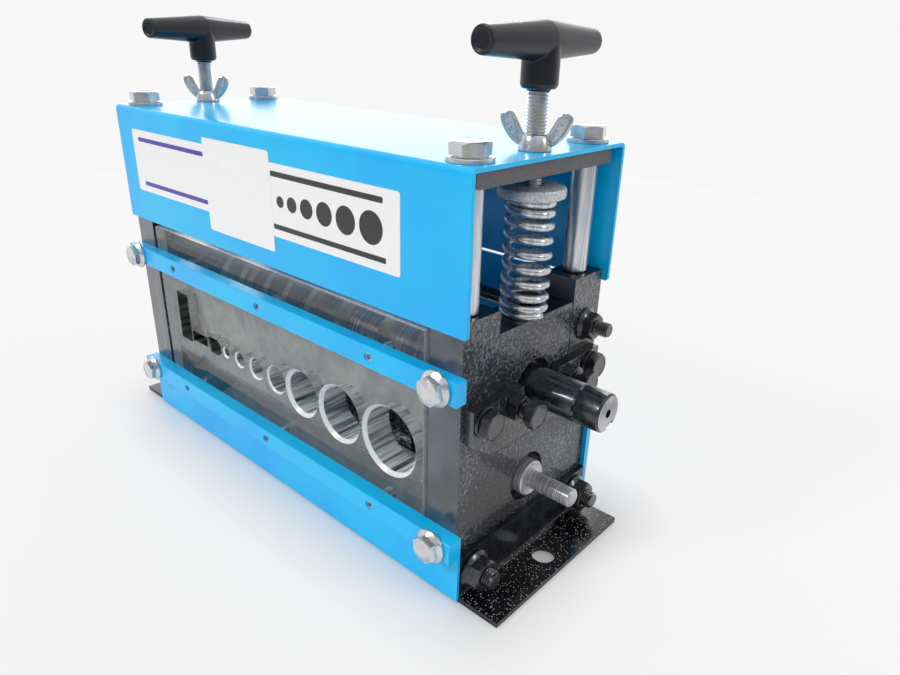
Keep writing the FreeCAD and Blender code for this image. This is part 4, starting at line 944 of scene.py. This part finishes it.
class STRIPPER_OT_rollers(bpy.types.Operator):
    """Knurled feed rollers, one for each opening of the guide"""
    bl_idname = "stripper.rollers"
    bl_label = "Feed rollers"

    def execute(self, context):
        sizes = context.scene.stripper_sizes
        tree = knurl_tree()
        low, high = (corner.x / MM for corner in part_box("feed_rollers"))
        axis = sum(corner.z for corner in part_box("feed_rollers")) / 2 / MM
        breaks = [(a + b) / 2 for a, b in zip(STATIONS, STATIONS[1:])]
        starts = [low] + [place + ROLLER_GAP / 2 for place in breaks]
        stops = [place - ROLLER_GAP / 2 for place in breaks] + [high]
        parts = []
        for radius, start, stop in zip(ROLLER_RADII, starts, stops):
            roller = grown(tree, {"Radius": radius * MM, "Width": (stop - start) * MM,
                                  "Pitch": sizes.knurl_pitch, "Depth": sizes.knurl_depth,
                                  "Material": finish("knurl")})
            parts.append((roller, at((start + stop) / 2, 0, axis, (1, 0, 0))))
        stand_in("feed_rollers_knurled", joined("feed_rollers_knurled", parts, finish("knurl")), "feed_rollers")
        return {"FINISHED"}


class STRIPPER_OT_arbors(bpy.types.Operator):
    """Shafts, blades, spacers, bearings, posts and small screws: steel finishes on the machined pieces"""
    bl_idname = "stripper.arbors"
    bl_label = "Machined pieces"

    METALS = {
        "turned": ("lower_shaft", "blade_spacers", "roller_spacers", "upper_end_sleeves", "lower_end_collars",
                   "upper_bearings", "lower_bearings"),
        "blade": ("slitting_blades",),
        "chrome": ("post_sleeves",),
        "zinc": ("screen_screws", "guide_screws"),
    }
    SHAFT_END_X = 180 * MM          # the ring groove lies short of this, the end face past it
    GROOVE_RADIUS = 9.3 * MM        # its flank lies further out than this

    def execute(self, context):
        for name, nodes in self.METALS.items():
            for node in nodes:
                frame["nodes"][node].data.materials[0] = finish(name)
        axis = sum(corner.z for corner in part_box("upper_shaft")) / 2

        def pick(spot, normal):
            if spot.x > self.SHAFT_END_X:
                return int(normal.x > 0.9)
            around = math.hypot(spot.y, spot.z - axis)
            return 2 if 0.2 < normal.x < 0.9 and around > self.GROOVE_RADIUS else 0

        mesh = eased("upper_shaft", [finish("oxide"), finish("turned"), finish("knurl")], 0.1 * MM, pick)
        stand_in("upper_shaft_blackened", mesh, "upper_shaft")
        return {"FINISHED"}


class STRIPPER_OT_fasteners(bpy.types.Operator):
    """Bolts, nuts, washers, jack screws and tie rods"""
    bl_idname = "stripper.fasteners"
    bl_label = "Fasteners"

    def execute(self, context):
        self.sizes = context.scene.stripper_sizes
        self.tree = fastener_tree()
        self.thread = thread_tree()
        posts = [(SCREW_X * side, POST_Y * line) for side, line in CORNERS]
        self.set("post_bolts", "zinc", hex_head(16, 6.4, 5, 88.7),
                 [at(x, y, COVER_TOP + 2, turn=20) for x, y in posts])
        self.set("cover_washers", "zinc", washer(5.25, 10.5, 2), [at(x, y, COVER_TOP) for x, y in posts])
        self.set("clamp_bolts", "zinc", hex_head(13, 6.2, 4, 20.7, flange=9),
                 [at(141 * side, y, z, (0, -1, 0), 10 * side) for side in BOTH
                  for y, z in ((-64, 122), (-65.6, 35))])
        self.set("guard_bolts", "zinc", hex_head(13, 6.2, 4, 17.7, flange=9),
                 [at(SCREW_X * side, 61, z, (0, 1, 0)) for side in BOTH for z in (34, 66)])
        self.set("keeper_bolts", "oxide", hex_head(13, 5.3, 4, 20.3), self.four(KEEPER_X + 1.6, POST_Y, 14))
        self.set("keeper_washers", "oxide", washer(4.25, 8, 1.6), self.four(KEEPER_X, POST_Y))
        self.set("jack_locknuts", "oxide", hex_nut(13, 6.5, 4.05), self.four(KEEPER_X, JACK_Y, 25))
        self.set("foot_nuts", "oxide", hex_nut(16, 9.5, 5.05, flange=10.4),
                 self.four(PLATE_X + 3, LOW_ROD_Y, 12, LOW_ROD_Z))
        self.set("upper_tie_nuts", "oxide", hex_nut(13, 8, 4.05, flange=9),
                 [at(PLATE_X * side, TOP_ROD_Y, TOP_ROD_Z, (side, 0, 0), 20) for side in BOTH])
        self.jacks()
        self.rods("lower_tie_rods", 5, 167.5, 20, [(LOW_ROD_Y, LOW_ROD_Z), (-LOW_ROD_Y, LOW_ROD_Z)],
                  self.sizes.screw_pitch, self.sizes.screw_depth)
        self.rods("upper_tie_rod", 4, 165.5, 17, [(TOP_ROD_Y, TOP_ROD_Z)], self.sizes.small_pitch,
                  self.sizes.small_depth)
        return {"FINISHED"}

    def four(self, x, y, turn=0.0, z=KEEPER_Z):
        """On both end plates, before and behind their middle, pointing outward."""
        return [at(x * side, y * line, z, (side, 0, 0), turn) for side, line in CORNERS]

    def set(self, node, name, pattern, places):
        mesh = set_on(self.tree, pattern, places, finish(name))
        stand_in(node + "_set", mesh, node)

    def cut_thread(self, radius, long, pitch, depth):
        return grown(self.thread, {"Radius": radius * MM, "Pitch": pitch, "Length": long * MM, "Depth": depth,
                                   "Material": finish("oxide")})

    def jacks(self):
        shank = self.cut_thread(4, 15.1, self.sizes.small_pitch, self.sizes.small_depth)
        head = hex_head(13, 5.3, 3, 2)
        parts = []
        for shaft, cap in zip(self.four(PLATE_X, JACK_Y), self.four(PLATE_X + 15.1, JACK_Y, 8)):
            parts += [(shank, shaft), (head, cap)]
        stand_in("jack_screws_threaded", joined("jack_screws_threaded", parts, finish("oxide")), "jack_screws")

    def rods(self, node, radius, reach, threaded, lines, pitch, depth):
        thread = self.cut_thread(radius, threaded, pitch, depth)
        plain = reach - threaded
        core = turned([(0, -plain), (radius, -plain), (radius, plain), (0, plain)])
        parts = []
        for y, z in lines:
            parts.append((core, at(0, y, z, (1, 0, 0))))
            for side in BOTH:
                parts.append((thread, at(plain * side, y, z, (side, 0, 0))))
        stand_in(node + "_threaded", joined(node + "_threaded", parts, finish("oxide")), node)


class STRIPPER_OT_pressure(bpy.types.Operator):
    """Pressure screws, spring seats and springs"""
    bl_idname = "stripper.pressure"
    bl_label = "Screws and springs"

    SCREW_RADIUS = 5
    DISC_THICK = 5.3

    def execute(self, context):
        sizes = context.scene.stripper_sizes
        threads, coils = thread_tree(), coil_tree()
        for side, word in SIDES:
            low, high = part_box("pressure_screw_" + word)
            screw = grown(threads, {"Radius": self.SCREW_RADIUS * MM, "Pitch": sizes.screw_pitch,
                                    "Length": high.z - low.z, "Depth": sizes.screw_depth,
                                    "Material": finish("zinc")})
            screw.transform(at(SCREW_X * side, 0, low.z / MM))
            stand_in("pressure_screw_threaded_" + word, screw, "pressure_screw_" + word)
            low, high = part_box("pressure_spring_" + word)
            tall = high.z - low.z
            spring = grown(coils, {"Coil Radius": sizes.coil_radius, "Wire Radius": sizes.wire_radius,
                                   "Coils": sizes.coils, "Height": tall, "Material": finish("chrome")})
            spring.transform(at(SCREW_X * side, 0, low.z / MM))
            piece = stand_in("pressure_spring_wound_" + word, spring, "pressure_spring_" + word)
            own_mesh(piece)
            low, high = (corner.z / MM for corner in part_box("spring_seat_" + word))
            seat = self.seat(low, high)
            seat.transform(at(SCREW_X * side, 0, 0))
            seat.materials.append(finish("rough_zinc"))
            stand_in("spring_seat_turned_" + word, seat, "spring_seat_" + word)
        return {"FINISHED"}

    def seat(self, low, high):
        """A disc with a spigot inside the spring and a blind hole for the screw."""
        disc = high - self.DISC_THICK
        return turned([(0, low), (6.8, low), (7.2, low + 0.4), (7.2, disc), (12.6, disc), (15.0, disc),
                       (16.0, disc + 0.5), (16.3, disc + 1.3), (16.3, high - 1.2), (15.9, high - 0.4),
                       (15.0, high), (5.6, high), (5.05, high - 0.6), (5.05, low + 3), (0, low + 3)])


class STRIPPER_OT_handles(bpy.types.Operator):
    """Moulded tee handles on the pressure screws"""
    bl_idname = "stripper.handles"
    bl_label = "Tee handles"

    TURNS = {"right": 2.5, "left": 14.0}
    VOXEL = 0.36 * MM
    # Half the arm from its dished end to its middle, and the stem from its foot: radius, place along the axis.
    HALF_ARM = ((0, -42.2), (4.2, -42.2), (4.4, -42.9), (4.7, -43.0), (5.3, -43.0), (5.7, -42.6), (5.8, -41.8),
                (7.2, -20.0), (8.3, -5.0))
    STEM = ((0, 0), (5.2, 0), (5.2, 0.9), (7.0, 1.0), (7.9, 1.5), (8.5, 2.8), (8.5, 12.0), (8.4, 22.0),
            (0, 22.0))

    def execute(self, context):
        arm = [*self.HALF_ARM, (8.6, 0.0)] + [(radius, -place) for radius, place in reversed(self.HALF_ARM)]
        for side, word in SIDES:
            parts = [(turned(arm, 96), at(0, 0, HANDLE_AXIS, (0, 1, 0))),
                     (turned(self.STEM, 96), at(0, 0, HANDLE_FOOT))]
            item = link("tee_handle_moulded_" + word, joined("tee", parts, finish("plastic")))
            skin = item.modifiers.new("One skin", "REMESH")
            skin.mode = "VOXEL"
            skin.voxel_size = self.VOXEL
            skin.use_smooth_shade = True
            item.modifiers.new("Mould radius", "SMOOTH").iterations = 4
            mesh = baked(item, crease=math.pi)
            mesh.transform(at(SCREW_X * side, 0, 0, turn=self.TURNS[word]))
            mesh.materials.clear()
            mesh.materials.append(finish("plastic"))
            stand_in("tee_handle_moulded_" + word, mesh, "tee_handle_" + word)
        return {"FINISHED"}


class STRIPPER_OT_wings(bpy.types.Operator):
    """Forged wing nuts on the cover"""
    bl_idname = "stripper.wings"
    bl_label = "Wing nuts"

    TURNS = {"right": 22.0, "left": 30.0}
    # One wing's outline: out from the screw, up from the cover.
    LEAF = ((4.6, 1.4), (6.6, 1.5), (8.7, 2.4), (10.4, 3.5), (12.2, 5.2), (13.7, 7.0), (15.0, 9.2),
            (16.1, 11.4), (16.7, 13.6), (16.5, 15.2), (15.5, 16.3), (14.0, 16.9), (12.4, 16.9), (11.0, 16.4),
            (9.8, 15.3), (8.9, 13.6), (8.1, 12.1), (7.4, 10.8), (6.7, 9.4), (6.0, 8.2), (5.0, 7.3), (4.6, 6.6))
    # From the sunk panel over the raised border to the rim: how far inside the outline, and half the thickness.
    SECTION = ((2.0, 1.0), (1.6, 1.45), (0.7, 1.5), (0.2, 1.25), (0.0, 0.8))
    COLLAR = ((5.05, 0.4), (5.4, 0), (7.4, 0), (7.8, 0.4), (7.7, 1.6), (6.9, 4.6), (6.3, 6.6), (5.95, 7.0),
              (5.5, 7.0), (5.05, 6.5))

    def execute(self, context):
        leaf = self.leaf()
        collar = turned(self.COLLAR, looped=True)
        for side, word in SIDES:
            parts = [(leaf, at(0, 0, COVER_TOP)), (leaf, at(0, 0, COVER_TOP, turn=180)),
                     (collar, at(0, 0, COVER_TOP))]
            mesh = joined("wing_nut_forged_" + word, parts, finish("zinc"), finish("rough_zinc"))
            mesh.transform(at(SCREW_X * side, 0, 0, turn=self.TURNS[word]))
            stand_in(mesh.name, mesh, "wing_nut_" + word)
        return {"FINISHED"}

    def leaf(self):
        """One wing: a flat blade with a raised border round a rough panel."""
        centre = [sum(values) / len(self.LEAF) for values in zip(*self.LEAF)]
        section = [(step, -y) for step, y in self.SECTION] + [(step, y) for step, y in reversed(self.SECTION)]
        rings = [[(x, y, z) for x, z in self.inset(step)] for step, y in section]
        ends = [[(centre[0], section[k][1], centre[1])] for k in (0, -1)]
        mesh = loft([ends[0], *rings, ends[1]], "leaf")
        for face in mesh.polygons:
            face.material_index = int(abs(face.center.y) < 1.05 * MM and abs(face.normal.y) > 0.9)
        return mesh

    def inset(self, step):
        """The outline moved inward by a step."""
        points = []
        for k, (x, z) in enumerate(self.LEAF):
            before, after = self.LEAF[k - 1], self.LEAF[(k + 1) % len(self.LEAF)]
            run, rise = after[0] - before[0], after[1] - before[1]
            long = math.hypot(run, rise)
            points.append((x - rise / long * step, z + run / long * step))
        return points


class STRIPPER_OT_label(bpy.types.Operator):
    """Plain label on the cover: rules and graded dots, with no words"""
    bl_idname = "stripper.label"
    bl_label = "Plain label"

    # Left, right, low and high of each panel and rule; place along the label and radius of each dot.
    PANELS = ((-135, -47, 167.5, 206.5), (16, 113.2, 166, 204.9))
    MIDDLE_PANEL = (-48.5, 16.5, 157, 210.5)
    LEFT_RULES = ((-127.5, -49.2, 199.4, 202), (-126, -49, 171.6, 174.2))
    RIGHT_RULES = ((17, 102.2, 198, 200.8), (17, 103.9, 170.3, 173))
    DOTS = ((24, 3), (34, 4), (46, 5), (60, 6), (76, 7), (94, 8))
    DOT_LINE = 185.5
    PRINT_LIFT = 0.1

    def execute(self, context):
        colours = context.scene.stripper_colours
        lift = self.PRINT_LIFT
        panels = [self.panel(*sides, 0.0) for sides in self.PANELS] + [self.panel(*self.MIDDLE_PANEL, lift)]
        self.piece("cover_label", panels, "white_vinyl_label", colours.label)
        rules = [self.panel(*sides, lift) for sides in self.LEFT_RULES]
        self.piece("cover_label_left_rules", rules, "violet_printing_ink", colours.label_blue)
        rules = [self.panel(*sides, lift) for sides in self.RIGHT_RULES]
        rules += [self.outline([(x + across, self.DOT_LINE + up) for across, up in circle(radius, 48)], lift)
                  for x, radius in self.DOTS]
        self.piece("cover_label_right_rules", rules, "black_printing_ink", colours.label_black)
        return {"FINISHED"}

    def outline(self, points, lift):
        """A flat sticker just off the cover's front."""
        back, front = COVER_FRONT - 0.02 - lift, COVER_FRONT - 0.14 - lift
        middle = (sum(x for x, z in points) / len(points), front, sum(z for x, z in points) / len(points))
        rings = [[(x, depth, z) for x, z in points] for depth in (back, front)]
        return loft([*rings, [middle]], "sticker")

    def panel(self, left, right, low, high, lift):
        radius = min(1.5, (high - low) / 4)
        points = []
        for cx, cz, start in ((right - radius, high - radius, 0), (left + radius, high - radius, 90),
                              (left + radius, low + radius, 180), (right - radius, low + radius, 270)):
            for step in range(5):
                across, up = polar(radius, (start + 22.5 * step) * DEGREE)
                points.append((cx + across, cz + up))
        return self.outline(points, lift)

    def piece(self, name, meshes, ink, colour):
        parts = [(mesh, Matrix.Identity(4)) for mesh in meshes]
        item = link(name, joined(name, parts, printed_label(ink, colour)))
        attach(item, BODIES["cover"])


class STRIPPER_PT_panel(bpy.types.Panel):
    """Lists the stripper's pieces and their sizes and colours"""
    bl_label = "Bench Wire Stripper"
    bl_idname = "STRIPPER_PT_panel"
    bl_space_type = "VIEW_3D"
    bl_region_type = "UI"
    bl_category = "Wire Stripper"

    def draw(self, context):
        layout = self.layout
        for operator in OPERATORS:
            layout.operator(operator.bl_idname)
        for name in GROUPS:
            group = getattr(context.scene, name)
            box = layout.box()
            for entry in group.__annotations__:
                box.prop(group, entry)


OPERATORS = (STRIPPER_OT_stage, STRIPPER_OT_frame, STRIPPER_OT_sheets, STRIPPER_OT_guide, STRIPPER_OT_rollers,
             STRIPPER_OT_arbors, STRIPPER_OT_fasteners, STRIPPER_OT_pressure, STRIPPER_OT_handles,
             STRIPPER_OT_wings, STRIPPER_OT_label)
GROUPS = {"stripper_sizes": StripperSizes, "stripper_colours": StripperColours, "stripper_stage": StripperStage}


def register():
    for group in (*GROUPS.values(), *OPERATORS, STRIPPER_PT_panel):
        bpy.utils.register_class(group)
    for name, group in GROUPS.items():
        setattr(bpy.types.Scene, name, bpy.props.PointerProperty(type=group))


def unregister():
    for name in GROUPS:
        delattr(bpy.types.Scene, name)
    for group in (STRIPPER_PT_panel, *reversed(OPERATORS), *GROUPS.values()):
        bpy.utils.unregister_class(group)


def main():
    register()
    for operator in OPERATORS:
        family, name = operator.bl_idname.split(".")
        getattr(getattr(bpy.ops, family), name)()
    bpy.context.view_layer.update()


if __name__ == "__main__":
    main()
